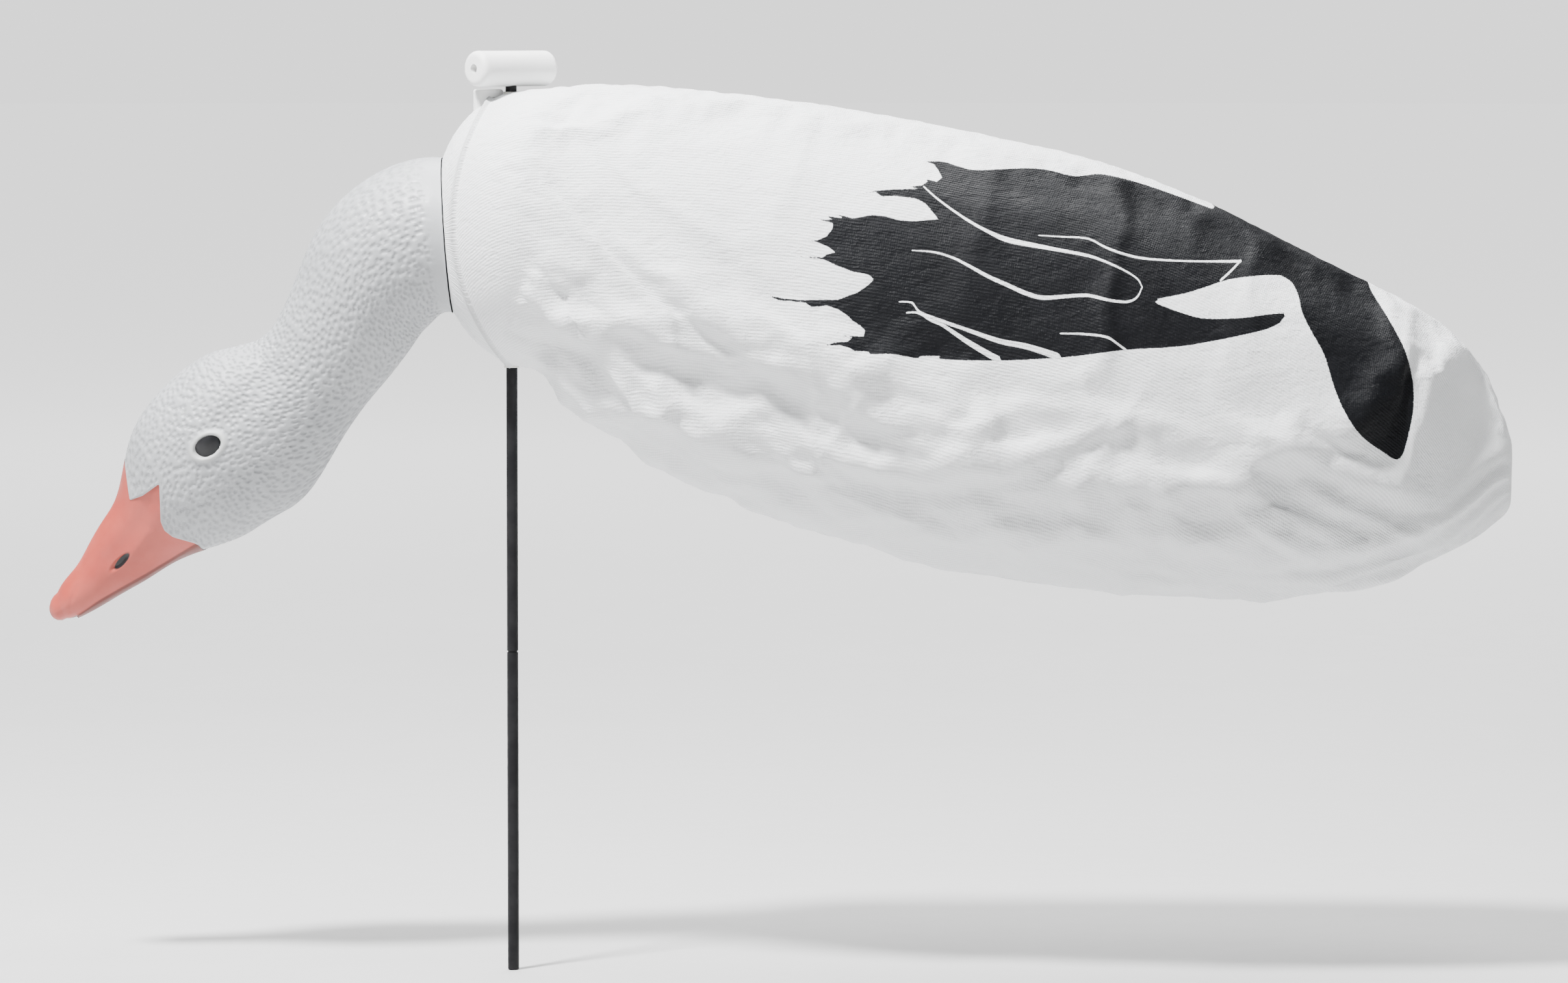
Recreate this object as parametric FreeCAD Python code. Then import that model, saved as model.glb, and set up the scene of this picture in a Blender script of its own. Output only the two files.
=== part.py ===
"""Windsock goose decoy on a ground stake, with a feeding head, modelled in millimetres.

Frame: the origin is the centre of the stake's bottom end. +Z runs up the stake, the bird faces -X and its
tail points to +X, and Y is across it, with its own left side at -Y.

How it is built, from the ground up:
  stake     a straight rod with a moulded push handle on top, and a stop ring that carries the bird
  collar    a moulded dome, open at the front for the neck, with a bush above and below for the stake
  head      a hollow blow-moulded head and neck that plugs into the collar and can be turned in it
  bag       a closed fabric sock over a sprung backbone and a wire loop, both held by a hinged hub
"""

import FreeCAD, Part
import math
import os

from FreeCAD import Placement, Rotation, Vector

# ---- driving dimensions, mm and degrees ----
ROD_R = 3.175  # quarter-inch rod
ROD_LENGTH = 508.0  # twenty inches
DEPTH_MARK_Z = 180.0  # how far the stake is pushed in
DEPTH_MARK_WIDTH = 1.0
DEPTH_MARK_DEPTH = 0.5

HANDLE_R = 10.0
HANDLE_LENGTH = 55.0
HANDLE_Z = 509.0
HANDLE_TURN = 43.0  # the handle is turned on the stake by this much from the bird's line
HANDLE_ROUND = 3.5
HANDLE_CORE_R = 2.7
HANDLE_CORE_DEPTH = 14.0

RUNNING_CLEARANCE = 0.075  # radial, for everything that turns on a shaft

COLLAR_CENTRE = Vector(10.0, 0.0, 418.6)  # the middle of the dome's widest ring
COLLAR_TILT = 4.0  # the dome's axis drops by this much towards the front
DOME_LENGTH = 55.0  # from the widest ring to where the dome would close, over the fabric
DOME_R = 77.0  # over the fabric
DOME_SEAM = 40.0  # the revolved surfaces' seam, kept clear of the openings at the top and bottom
FABRIC_T = 0.8
COLLAR_GAP = 0.1  # fabric to collar
COLLAR_T = 2.2
RIM_S = 6.0  # the rear rim, measured along the dome's axis from its widest ring
FABRIC_FRONT_S = -45.0
COLLAR_FRONT_S = -43.4
SLEEVE_REAR_S = -24.0
SLEEVE_R = 45.8
RIDGE_R = 76.6  # the hem's rear edge is cut to a cylinder that stands across the dome
RIDGE_S = -14.3  # where that cylinder crosses the dome's top and bottom
CORD_W = 2.4
CORD_T = 1.4

NECK_R = 43.5
PLUG_REAR_S = -19.5
NECK_FRONT_S = -46.2
HEAD_WALL = 2.0
RETAINER_S = (-23.7, -21.9)
RETAINER_IN_R = 42.3
RETAINER_R = 46.5
HEAD_ROLL = 10.0  # how far the head stands turned in the collar at rest

BUSH_R = 4.3
BUSH_FLANGE_R = 8.4
BUSH_FLANGE_T = 2.0
TOP_SEAT_Z = 487.0
TOP_BUSH_END_Z = 496.0
BOTTOM_SEAT_Z = 350.0
BOTTOM_BUSH_END_Z = 341.0
BOSS_R = 10.0

STOP_R = 7.0
STOP_HEIGHT = 8.0
WASHER_T = 1.2
STOP_GAP = 0.3

POST_X = -12.8
POST_R = 8.4
POST_TOP_Z = 497.4
SCREW_SEAT_Z = 483.0

TONGUE_REAR_X = 24.0
TONGUE_HALF_W = 11.0
HINGE_X = 16.0
HINGE_Z = 474.0
HINGE_PIN_R = 1.5
EAR_HALF_GAP = 7.0
EAR_T = 3.0
HUB_HALF_W = 6.6
BRACKET_PLATE_T = 2.5
BRACKET_SCREW_X = 19.2
BRACKET_SCREW_Y = 4.2
SCREW_R = 1.4
SCREW_HEAD_R = 2.6
SCREW_HEAD_T = 1.5

BACKBONE_R = 2.5
BACKBONE_ARC = (Vector(20, 0, 474), Vector(270, 0, 455), Vector(520, 0, 352))  # start, middle, end
LOOP_R = 1.5
LOOP_HALF_W = 80.0
LOOP_SLOPE = 20.0  # the loop's plane falls by this much towards the tail

# The head and neck, from the collar to the bill's tip: the top and the bottom of each ring as X and Z, and
# its half width.
NECK_RINGS = [
    ((-54.2, 457.8), (-40.7, 370.9), 43.0),
    ((-72.6, 451.5), (-45.2, 366.5), 42.0),
    ((-94.0, 436.5), (-50.6, 361.0), 40.0),
    ((-109.5, 417.5), (-54.5, 355.5), 37.8),
    ((-119.5, 395.5), (-60.5, 346.8), 35.2),
    ((-128.6, 373.8), (-71.8, 332.4), 32.6),
    ((-137.5, 359.0), (-83.6, 318.1), 31.4),
    ((-148.5, 352.6), (-95.3, 301.3), 32.6),
]
HEAD_RINGS = [
    ((-162.4, 349.3), (-105.6, 283.7), 35.2),
    ((-177.7, 343.4), (-120.2, 263.5), 37.4),
    ((-192.8, 331.7), (-136.7, 252.9), 37.6),
    ((-206.4, 316.9), (-153.2, 242.6), 35.4),
    ((-216.0, 300.3), (-167.1, 237.1), 31.2),
    ((-220.5, 281.5), (-178.9, 233.2), 25.6),
]
BILL_RINGS = [
    ((-225.0, 263.0), (-193.6, 226.6), 19.8),
    ((-232.0, 250.5), (-207.6, 217.6), 16.8),
    ((-239.0, 237.5), (-220.6, 209.9), 14.8),
    ((-244.9, 226.5), (-231.3, 203.3), 14.0),
    ((-250.4, 219.6), (-240.0, 198.4), 13.6),
    ((-255.1, 213.2), (-248.0, 195.2), 11.8),
    ((-258.0, 206.6), (-254.0, 196.4), 7.0),
]
# The bill's edge against the feathers, seen from the side, from the forehead's point to the chin.
BILL_EDGE = [
    (-217.0, 264.5),
    (-199.0, 275.6),
    (-198.2, 257.4),
    (-197.2, 248.4),
    (-192.4, 243.0),
    (-179.5, 238.8),
]
EYE_X, EYE_Z = -170.5, 302.3
EYE_LONG_R, EYE_SHORT_R = 7.9, 5.3
EYE_TURN = 32.0
EYE_SEAT_Y = 33.4  # the eye's flat back
EYE_DOME_R = 12.0
EYE_DOME_TOP_Y = 37.6

# The bag, from the mouth to the tail: top and bottom of each ring as X and Z, and its half width.
BAG_RINGS = [
    ((40.0, 500.0), (24.0, 325.0), 79.0),
    ((84.0, 497.6), (78.0, 291.4), 88.0),
    ((151.0, 490.0), (151.0, 260.0), 97.0),
    ((224.0, 477.5), (224.0, 236.8), 102.0),
    ((298.0, 462.5), (298.0, 223.2), 104.0),
    ((371.0, 440.0), (371.0, 215.9), 100.0),
    ((444.0, 405.5), (444.0, 214.6), 88.0),
    ((490.0, 383.0), (490.0, 219.6), 73.0),
    ((520.0, 367.0), (520.0, 229.0), 57.0),
    ((540.0, 348.5), (540.0, 238.8), 40.0),
    ((555.0, 322.0), (555.0, 250.5), 23.0),
    ((564.0, 297.0), (564.0, 266.0), 8.0),
]
RING_POINTS = 12
MOUTH_LEAD = 0.5  # the inner surface starts this far ahead of the outer one, so that the mouth is open


# ---- helpers ----
def collar_place(s=0.0, height=0.0):
    """A point given along the dome's axis (s, towards the tail) and above it, in the row frame."""
    t = math.radians(COLLAR_TILT)
    return COLLAR_CENTRE + Vector(
        s * math.cos(t) - height * math.sin(t), 0, s * math.sin(t) + height * math.cos(t)
    )


def collar_axis():
    t = math.radians(COLLAR_TILT)
    return Vector(math.cos(t), 0, math.sin(t))


def on_collar(shape):
    """Moves a shape made about the X axis at the origin onto the dome's axis."""
    shape.Placement = Placement(COLLAR_CENTRE, Rotation(Vector(0, 1, 0), -COLLAR_TILT))
    return shape


def tube_along_collar(radius, s_front, s_rear):
    return on_collar(
        Part.makeCylinder(radius, s_rear - s_front, Vector(s_front, 0, 0), Vector(1, 0, 0))
    )


def dome(shrink, s_front, s_rear):
    """The dome as a solid of revolution, smaller all round by shrink, between two places on its axis."""
    length, radius = DOME_LENGTH - shrink, DOME_R - shrink
    ellipse = Part.Ellipse(Vector(0, 0, radius), Vector(-length, 0, 0), Vector(0, 0, 0))
    start = math.asin(-s_front / length)
    arc = Part.ArcOfEllipse(ellipse, 0.0, start).toShape()
    front_r = radius * math.cos(start)
    corners = [
        Vector(s_front, 0, front_r),
        Vector(s_front, 0, 0),
        Vector(s_rear, 0, 0),
        Vector(s_rear, 0, radius),
        Vector(0, 0, radius),
    ]
    edges = [Part.makeLine(a, b) for a, b in zip(corners, corners[1:])]
    outline = Part.Face(Part.Wire(Part.__sortEdges__([arc] + edges)))
    outline.rotate(Vector(0, 0, 0), Vector(1, 0, 0), DOME_SEAM)
    return on_collar(outline.revolve(Vector(0, 0, 0), Vector(1, 0, 0), 360))


def ridge_cylinder(radius):
    """The upright cylinder, square to the dome's axis, whose rear wall is the hem's rear edge."""
    reach = 1.5 * DOME_R
    centre = Vector(RIDGE_S - RIDGE_R, 0, -reach)
    return on_collar(Part.makeCylinder(radius, 2 * reach, centre, Vector(0, 0, 1)))


def upright(radius, z_low, z_high, x=0.0, y=0.0):
    return Part.makeCylinder(radius, z_high - z_low, Vector(x, y, z_low), Vector(0, 0, 1))


def across(radius, x, z, y_low, y_high):
    return Part.makeCylinder(radius, y_high - y_low, Vector(x, y_low, z), Vector(0, 1, 0))


def block(x, y, z):
    """A box from three (low, high) pairs."""
    return Part.makeBox(x[1] - x[0], y[1] - y[0], z[1] - z[0], Vector(x[0], y[0], z[0]))


def ring_wire(top, bottom, half_width, shrink=0.0):
    """A closed smooth ring through its top and bottom, which are X and Z on the middle plane."""
    top, bottom = Vector(top[0], 0, top[1]), Vector(bottom[0], 0, bottom[1])
    centre, up = (top + bottom) / 2, (top - bottom) / 2
    up = up * (1 - shrink / up.Length)
    side = Vector(0, half_width - shrink, 0)
    angles = [2 * math.pi * i / RING_POINTS for i in range(RING_POINTS)]
    points = [centre + up * math.cos(a) + side * math.sin(a) for a in angles]
    curve = Part.BSplineCurve()
    curve.interpolate(Points=points, PeriodicFlag=True)
    return Part.Wire([curve.toShape()])


def loft(rings, shrink=0.0):
    return Part.makeLoft([ring_wire(*r, shrink) for r in rings], True, False)


def roll_head(shape):
    """Turns a piece of the head about the collar's axis, to where the head stands at rest."""
    shape = shape.copy()
    shape.rotate(collar_place(), collar_axis(), HEAD_ROLL)
    return shape


# ---- the stake ----
def stake_rod():
    rod = upright(ROD_R, 0, ROD_LENGTH)
    mark = upright(2 * ROD_R, DEPTH_MARK_Z, DEPTH_MARK_Z + DEPTH_MARK_WIDTH)
    mark = mark.cut(
        upright(ROD_R - DEPTH_MARK_DEPTH, DEPTH_MARK_Z - 1, DEPTH_MARK_Z + DEPTH_MARK_WIDTH + 1)
    )
    return rod.cut(mark)


def push_handle():
    half = HANDLE_LENGTH / 2
    grip = Part.makeCylinder(HANDLE_R, HANDLE_LENGTH, Vector(-half, 0, 0), Vector(1, 0, 0))
    rims = [e for e in grip.Edges if abs(abs(e.CenterOfMass.x) - half) < 0.01]
    grip = grip.makeFillet(HANDLE_ROUND, rims)
    for end in (-1, 1):
        start = Vector(end * (half - HANDLE_CORE_DEPTH), 0, 0)
        core = Part.makeCylinder(HANDLE_CORE_R, HANDLE_CORE_DEPTH + 1, start, Vector(end, 0, 0))
        grip = grip.cut(core)
    grip.Placement = Placement(Vector(0, 0, HANDLE_Z), Rotation(Vector(0, 0, 1), HANDLE_TURN))
    return grip.cut(upright(ROD_R, HANDLE_Z - 2 * HANDLE_R, ROD_LENGTH))


def washer_top():
    return TOP_SEAT_Z - BUSH_FLANGE_T - STOP_GAP


def stop_ring():
    top = washer_top() - WASHER_T
    ring = upright(STOP_R, top - STOP_HEIGHT, top)
    return ring.cut(upright(ROD_R, top - STOP_HEIGHT - 1, top + 1))


def thrust_washer():
    top = washer_top()
    plate = upright(STOP_R, top - WASHER_T, top)
    return plate.cut(upright(ROD_R, top - WASHER_T - 1, top + 1))


# ---- the collar and what is fixed to it ----
def collar():
    skin = FABRIC_T + COLLAR_GAP
    shell = dome(skin, COLLAR_FRONT_S, RIM_S)
    hollow = dome(skin + COLLAR_T, COLLAR_FRONT_S + COLLAR_T, RIM_S + 1)
    hollow = hollow.cut(tube_along_collar(SLEEVE_R, COLLAR_FRONT_S - 1, SLEEVE_REAR_S))
    inside = dome(skin + 0.5, COLLAR_FRONT_S, RIM_S)
    bosses = [
        upright(BOSS_R, TOP_SEAT_Z, TOP_SEAT_Z + 12),
        upright(BOSS_R, BOTTOM_SEAT_Z - 12, BOTTOM_SEAT_Z),
        upright(4.0, SCREW_SEAT_Z, SCREW_SEAT_Z + 12, POST_X),
    ]
    body = shell.cut(hollow)
    for boss in bosses:
        body = body.fuse(boss.common(inside))
    tongue = block((0, TONGUE_REAR_X), (-TONGUE_HALF_W, TONGUE_HALF_W), (TOP_SEAT_Z, 492.6))
    body = body.fuse(tongue)
    body = body.cut(
        tube_along_collar(NECK_R + RUNNING_CLEARANCE, COLLAR_FRONT_S - 2, SLEEVE_REAR_S + 1)
    )
    body = body.cut(upright(BUSH_R, TOP_SEAT_Z - 5, TOP_SEAT_Z + 20))
    body = body.cut(upright(BUSH_R, BOTTOM_SEAT_Z - 20, BOTTOM_SEAT_Z + 5))
    body = body.cut(upright(BUSH_FLANGE_R + 0.2, BOTTOM_SEAT_Z, BOTTOM_SEAT_Z + 5))
    body = body.cut(upright(SCREW_R, SCREW_SEAT_Z - 2, SCREW_SEAT_Z + 15, POST_X))
    for y in (-BRACKET_SCREW_Y, BRACKET_SCREW_Y):
        body = body.cut(upright(SCREW_R, TOP_SEAT_Z - 1, TOP_SEAT_Z + 4.5, BRACKET_SCREW_X, y))
    return body.removeSplitter()


def bush(seat_z, end_z):
    """A flanged bush for the stake. The flange is inside the collar and the sleeve runs out through it."""
    inward = -1 if end_z > seat_z else 1
    flange = upright(BUSH_FLANGE_R, *sorted((seat_z, seat_z + inward * BUSH_FLANGE_T)))
    sleeve = upright(BUSH_R, *sorted((seat_z, end_z)))
    span = sorted((seat_z + 2 * inward * BUSH_FLANGE_T, end_z - inward))
    return flange.fuse(sleeve).removeSplitter().cut(upright(ROD_R + RUNNING_CLEARANCE, *span))


def fabric_on_dome():
    """The bag's fabric where it lies on the dome, with the openings for the neck and the bushes."""
    skin = dome(0, FABRIC_FRONT_S, RIM_S).cut(dome(FABRIC_T, FABRIC_FRONT_S - 1, RIM_S + 1))
    skin = skin.cut(tube_along_collar(NECK_R + 0.4, FABRIC_FRONT_S - 2, SLEEVE_REAR_S))
    skin = skin.cut(upright(BUSH_R + 0.1, BOTTOM_SEAT_Z - 20, TOP_SEAT_Z + 20))
    return skin.cut(upright(SCREW_R, SCREW_SEAT_Z, SCREW_SEAT_Z + 15, POST_X))


def hem_band():
    return fabric_on_dome().common(ridge_cylinder(RIDGE_R))


def bag_mouth():
    return fabric_on_dome().cut(ridge_cylinder(RIDGE_R))


def hem_cord():
    """The cord under the fabric at the hem's rear edge, in two halves that end at the bushes."""
    proud = dome(-CORD_T, FABRIC_FRONT_S, RIM_S).cut(dome(0, FABRIC_FRONT_S - 1, RIM_S + 1))
    half = CORD_W / 2
    cord = proud.common(ridge_cylinder(RIDGE_R + half)).cut(ridge_cylinder(RIDGE_R - half))
    return cord.cut(upright(BUSH_R + 0.4, BOTTOM_SEAT_Z - 20, TOP_SEAT_Z + 20))


def top_post():
    post = upright(POST_R, SCREW_SEAT_Z - 15, POST_TOP_Z, POST_X)
    rim = [e for e in post.Edges if abs(e.CenterOfMass.z - POST_TOP_Z) < 0.01]
    post = post.makeFillet(1.5, rim)
    post = post.cut(dome(0, FABRIC_FRONT_S, RIM_S)).cut(hem_cord())
    post = post.cut(upright(BUSH_R + 0.1, SCREW_SEAT_Z, POST_TOP_Z + 1))
    pilot = upright(SCREW_R, SCREW_SEAT_Z - 2, POST_TOP_Z - 3, POST_X)
    return max(post.cut(pilot).Solids, key=lambda s: s.Volume)


def pan_screw(x, y, seat_z, tip_z):
    """A pan-head screw driven upwards, its head under the seat."""
    head = upright(SCREW_HEAD_R, seat_z - SCREW_HEAD_T, seat_z, x, y)
    rim = [e for e in head.Edges if abs(e.CenterOfMass.z - (seat_z - SCREW_HEAD_T)) < 0.01]
    head = head.makeFillet(0.6, rim)
    slot = block(
        (x - SCREW_HEAD_R, x + SCREW_HEAD_R),
        (y - 0.35, y + 0.35),
        (seat_z - SCREW_HEAD_T - 1, seat_z - SCREW_HEAD_T + 0.7),
    )
    return head.fuse(upright(SCREW_R, seat_z, tip_z, x, y)).removeSplitter().cut(slot)


def post_screw():
    return pan_screw(POST_X, 0, SCREW_SEAT_Z, POST_TOP_Z - 3)


def bracket_screws():
    seat = TOP_SEAT_Z - BRACKET_PLATE_T
    ys = (-BRACKET_SCREW_Y, BRACKET_SCREW_Y)
    return Part.makeCompound([pan_screw(BRACKET_SCREW_X, y, seat, TOP_SEAT_Z + 4.5) for y in ys])


def hub_bracket():
    """Two ears on a plate, screwed under the collar's tongue behind the stake."""
    outer = EAR_HALF_GAP + EAR_T
    plate_z = (TOP_SEAT_Z - BRACKET_PLATE_T, TOP_SEAT_Z)
    body = block((BUSH_FLANGE_R + 1.2, TONGUE_REAR_X - 1.5), (-outer, outer), plate_z)
    for y in ((-outer, -EAR_HALF_GAP), (EAR_HALF_GAP, outer)):
        ear = block((HINGE_X - 5, HINGE_X + 5), y, (HINGE_Z, plate_z[0]))
        body = body.fuse(ear).fuse(across(5.0, HINGE_X, HINGE_Z, *y))
    body = body.removeSplitter().cut(across(HINGE_PIN_R, HINGE_X, HINGE_Z, -2 * outer, 2 * outer))
    for y in (-BRACKET_SCREW_Y, BRACKET_SCREW_Y):
        body = body.cut(upright(SCREW_R, plate_z[0] - 1, plate_z[1] + 1, BRACKET_SCREW_X, y))
    return body


def hinge_pin():
    outer = EAR_HALF_GAP + EAR_T
    pin = across(HINGE_PIN_R, HINGE_X, HINGE_Z, -outer - 1.0, outer)
    return pin.fuse(across(2 * HINGE_PIN_R, HINGE_X, HINGE_Z, -outer - 2.0, -outer)).removeSplitter()


# ---- the head ----
def neck_root_ring():
    """The neck's first ring, just inside the front end of the plug."""
    s, radius = NECK_FRONT_S + 1.5, NECK_R - 0.6
    top, bottom = collar_place(s, radius), collar_place(s, -radius)
    return ((top.x, top.z), (bottom.x, bottom.z), radius)


def bill_prism():
    """Everything in front of the bill's edge, as a slab across the head."""
    around = [(-179.5, 190.0), (-290.0, 190.0), (-290.0, 320.0), (-232.0, 320.0)]
    points = [Vector(x, -60, z) for x, z in BILL_EDGE + around]
    return Part.Face(Part.makePolygon(points + points[:1])).extrude(Vector(0, 120, 0))


def head_outer():
    return loft([neck_root_ring()] + NECK_RINGS + HEAD_RINGS + BILL_RINGS)


def eye_socket(side):
    """The oval hole through the head's wall that an eye fills, on the -1 or +1 side."""
    oval = Part.Ellipse(Vector(0, 0, 0), EYE_LONG_R, EYE_SHORT_R).toShape()
    face = Part.Face(Part.Wire([oval])).extrude(Vector(0, 0, 30))
    # local X becomes the long axis, which rises towards the back of the head; local Z points outwards
    turn = Rotation(Vector(1, 0, 0), 90 * -side) if side > 0 else Rotation(Vector(1, 0, 0), 90)
    spin = Rotation(Vector(0, 1, 0), -EYE_TURN)
    face.Placement = Placement(Vector(EYE_X, side * EYE_SEAT_Y, EYE_Z), spin.multiply(turn))
    return face


def head_neck():
    inner = loft([neck_root_ring()] + NECK_RINGS + HEAD_RINGS, HEAD_WALL)
    body = head_outer().cut(bill_prism())
    body = body.fuse(tube_along_collar(NECK_R, NECK_FRONT_S, PLUG_REAR_S))
    bore = tube_along_collar(NECK_R - HEAD_WALL, NECK_FRONT_S - 0.5, PLUG_REAR_S + 1)
    body = body.cut(inner).cut(bore)
    groove = tube_along_collar(NECK_R + 1, *RETAINER_S).cut(
        tube_along_collar(RETAINER_IN_R, RETAINER_S[0] - 1, RETAINER_S[1] + 1)
    )
    body = body.cut(groove)
    for side in (-1, 1):
        body = body.cut(eye_socket(side))
    return roll_head(max(body.Solids, key=lambda s: s.Volume))


def eye(side):
    """An oval bead with a domed face, pressed into its socket."""
    centre = Vector(EYE_X, side * (EYE_DOME_TOP_Y - EYE_DOME_R), EYE_Z)
    return roll_head(eye_socket(side).common(Part.makeSphere(EYE_DOME_R, centre)))


def bill():
    """A hollow cap that continues the head, closed at its tip."""
    hollow = loft(HEAD_RINGS[-2:] + BILL_RINGS[:-1], HEAD_WALL)
    return roll_head(head_outer().common(bill_prism()).cut(hollow))


def neck_retainer():
    """A split ring in the plug's groove, behind the collar's sleeve."""
    ring = tube_along_collar(RETAINER_R, *RETAINER_S)
    ring = ring.cut(tube_along_collar(RETAINER_IN_R, RETAINER_S[0] - 1, RETAINER_S[1] + 1))
    middle = collar_place(sum(RETAINER_S) / 2, -RETAINER_R)
    gap = block((middle.x - 6, middle.x + 6), (-4, 4), (middle.z - 6, middle.z + 12))
    return roll_head(ring.cut(gap))


# ---- the bag and its frame ----
def bag():
    outer = loft(BAG_RINGS)
    mouth, tail = BAG_RINGS[0], BAG_RINGS[-1]
    (top_x, top_z), (bottom_x, bottom_z), width = mouth
    mouth = ((top_x - MOUTH_LEAD, top_z), (bottom_x - MOUTH_LEAD, bottom_z), width)
    (top_x, top_z), (bottom_x, bottom_z), width = tail
    tail = ((top_x - FABRIC_T, top_z), (bottom_x - FABRIC_T, bottom_z), width)
    return outer.cut(loft([mouth] + BAG_RINGS[1:-1] + [tail], FABRIC_T))


def rod_along(wire, radius):
    start = wire.Edges[0]
    point = start.valueAt(start.FirstParameter)
    circle = Part.Circle(point, start.tangentAt(start.FirstParameter), radius).toShape()
    pipe = wire.makePipeShell([Part.Wire([circle])], True, False)
    return Part.Solid(pipe) if pipe.ShapeType == "Shell" else pipe


def backbone():
    return rod_along(Part.Wire([Part.Arc(*BACKBONE_ARC).toShape()]), BACKBONE_R)


def backbone_tip():
    """A round-ended rubber cap over the backbone's rear end."""
    arc = Part.Arc(*BACKBONE_ARC).toShape()
    end, along = arc.valueAt(arc.LastParameter), arc.tangentAt(arc.LastParameter)
    start = end - along * 14
    cap = Part.makeCylinder(5.0, 15, start, along).fuse(Part.makeSphere(5.0, end + along * 1))
    return cap.removeSplitter().cut(backbone())


def loop_wire():
    """The loop in its own plane: two legs that spread from the hub, two straight sides and a round end."""
    bend_r = 60.0
    root, spread_u, side_end_u = (8.0, 3.2), 120.0, 330.0
    lean = math.atan2(LOOP_HALF_W - root[1], spread_u)
    cut = bend_r * math.tan(lean / 2)
    lean_end = (spread_u + root[0] - cut * math.cos(lean), LOOP_HALF_W - cut * math.sin(lean))
    side_start = (spread_u + root[0] + cut, LOOP_HALF_W)
    bend_mid = (
        side_start[0] - bend_r * math.sin(lean / 2),
        LOOP_HALF_W - bend_r * (1 - math.cos(lean / 2)),
    )

    def at(u, v):
        t = math.radians(LOOP_SLOPE)
        start = Vector(HINGE_X + 4, 0, HINGE_Z - 6)
        return start + Vector(u * math.cos(t), v, -u * math.sin(t))

    def half(sign):
        return [
            Part.makeLine(at(root[0], sign * root[1]), at(lean_end[0], sign * lean_end[1])),
            Part.Arc(
                at(lean_end[0], sign * lean_end[1]),
                at(bend_mid[0], sign * bend_mid[1]),
                at(side_start[0], sign * side_start[1]),
            ).toShape(),
            Part.makeLine(
                at(side_start[0], sign * side_start[1]), at(side_end_u, sign * LOOP_HALF_W)
            ),
        ]

    end = Part.Arc(
        at(side_end_u, LOOP_HALF_W), at(side_end_u + LOOP_HALF_W, 0), at(side_end_u, -LOOP_HALF_W)
    ).toShape()
    return Part.Wire(Part.__sortEdges__(half(1) + [end] + half(-1)))


def spreader_loop():
    return rod_along(loop_wire(), LOOP_R)


def frame_hub():
    """The block that joins the backbone and the loop, with an eye for the hinge pin and a toe for its stop."""
    width = (-HUB_HALF_W, HUB_HALF_W)
    body = across(5.0, HINGE_X, HINGE_Z, *width)
    body = body.fuse(block((HINGE_X, HINGE_X + 20), width, (HINGE_Z - 14, HINGE_Z + 5)))
    body = body.fuse(block((HINGE_X - 4, HINGE_X), width, (HINGE_Z, HINGE_Z + 10)))
    body = body.removeSplitter()
    body = body.cut(
        across(HINGE_PIN_R + RUNNING_CLEARANCE, HINGE_X, HINGE_Z, 2 * width[0], 2 * width[1])
    )
    return body.cut(backbone()).cut(spreader_loop())


PIECES = {
    "stake_rod": stake_rod,
    "push_handle": push_handle,
    "stop_ring": stop_ring,
    "thrust_washer": thrust_washer,
    "collar": collar,
    "top_bush": lambda: bush(TOP_SEAT_Z, TOP_BUSH_END_Z),
    "bottom_bush": lambda: bush(BOTTOM_SEAT_Z, BOTTOM_BUSH_END_Z),
    "top_post": top_post,
    "post_screw": post_screw,
    "hem_band": hem_band,
    "hem_cord": hem_cord,
    "bag_mouth": bag_mouth,
    "hub_bracket": hub_bracket,
    "bracket_screws": bracket_screws,
    "hinge_pin": hinge_pin,
    "head_neck": head_neck,
    "bill": bill,
    "eye_left": lambda: eye(-1),
    "eye_right": lambda: eye(1),
    "neck_retainer": neck_retainer,
    "bag": bag,
    "backbone": backbone,
    "backbone_tip": backbone_tip,
    "spreader_loop": spreader_loop,
    "frame_hub": frame_hub,
}

os.makedirs("parts", exist_ok=True)
for name, make in PIECES.items():
    shape = make()
    shape.exportStep(f"parts/{name}.step")
    box = shape.BoundBox
    print(
        f"{name:16s} solids {len(shape.Solids)} valid {shape.isValid()} volume {shape.Volume:10.1f}"
        f"  X {box.XMin:7.1f} {box.XMax:7.1f}  Y {box.YMin:7.1f} {box.YMax:7.1f}"
        f"  Z {box.ZMin:7.1f} {box.ZMax:7.1f}"
    )
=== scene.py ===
"""Looks of the windsock goose decoy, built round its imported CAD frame.

The bag and its hem are one cut of crumpled fabric, the head and the bill are a dimpled blow moulding,
and the rest is CAD with better materials. Lengths are in millimetres until the meshes are made.
"""

import math

import bmesh
import bpy
import numpy as np
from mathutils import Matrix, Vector
from mathutils.bvhtree import BVHTree


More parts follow.
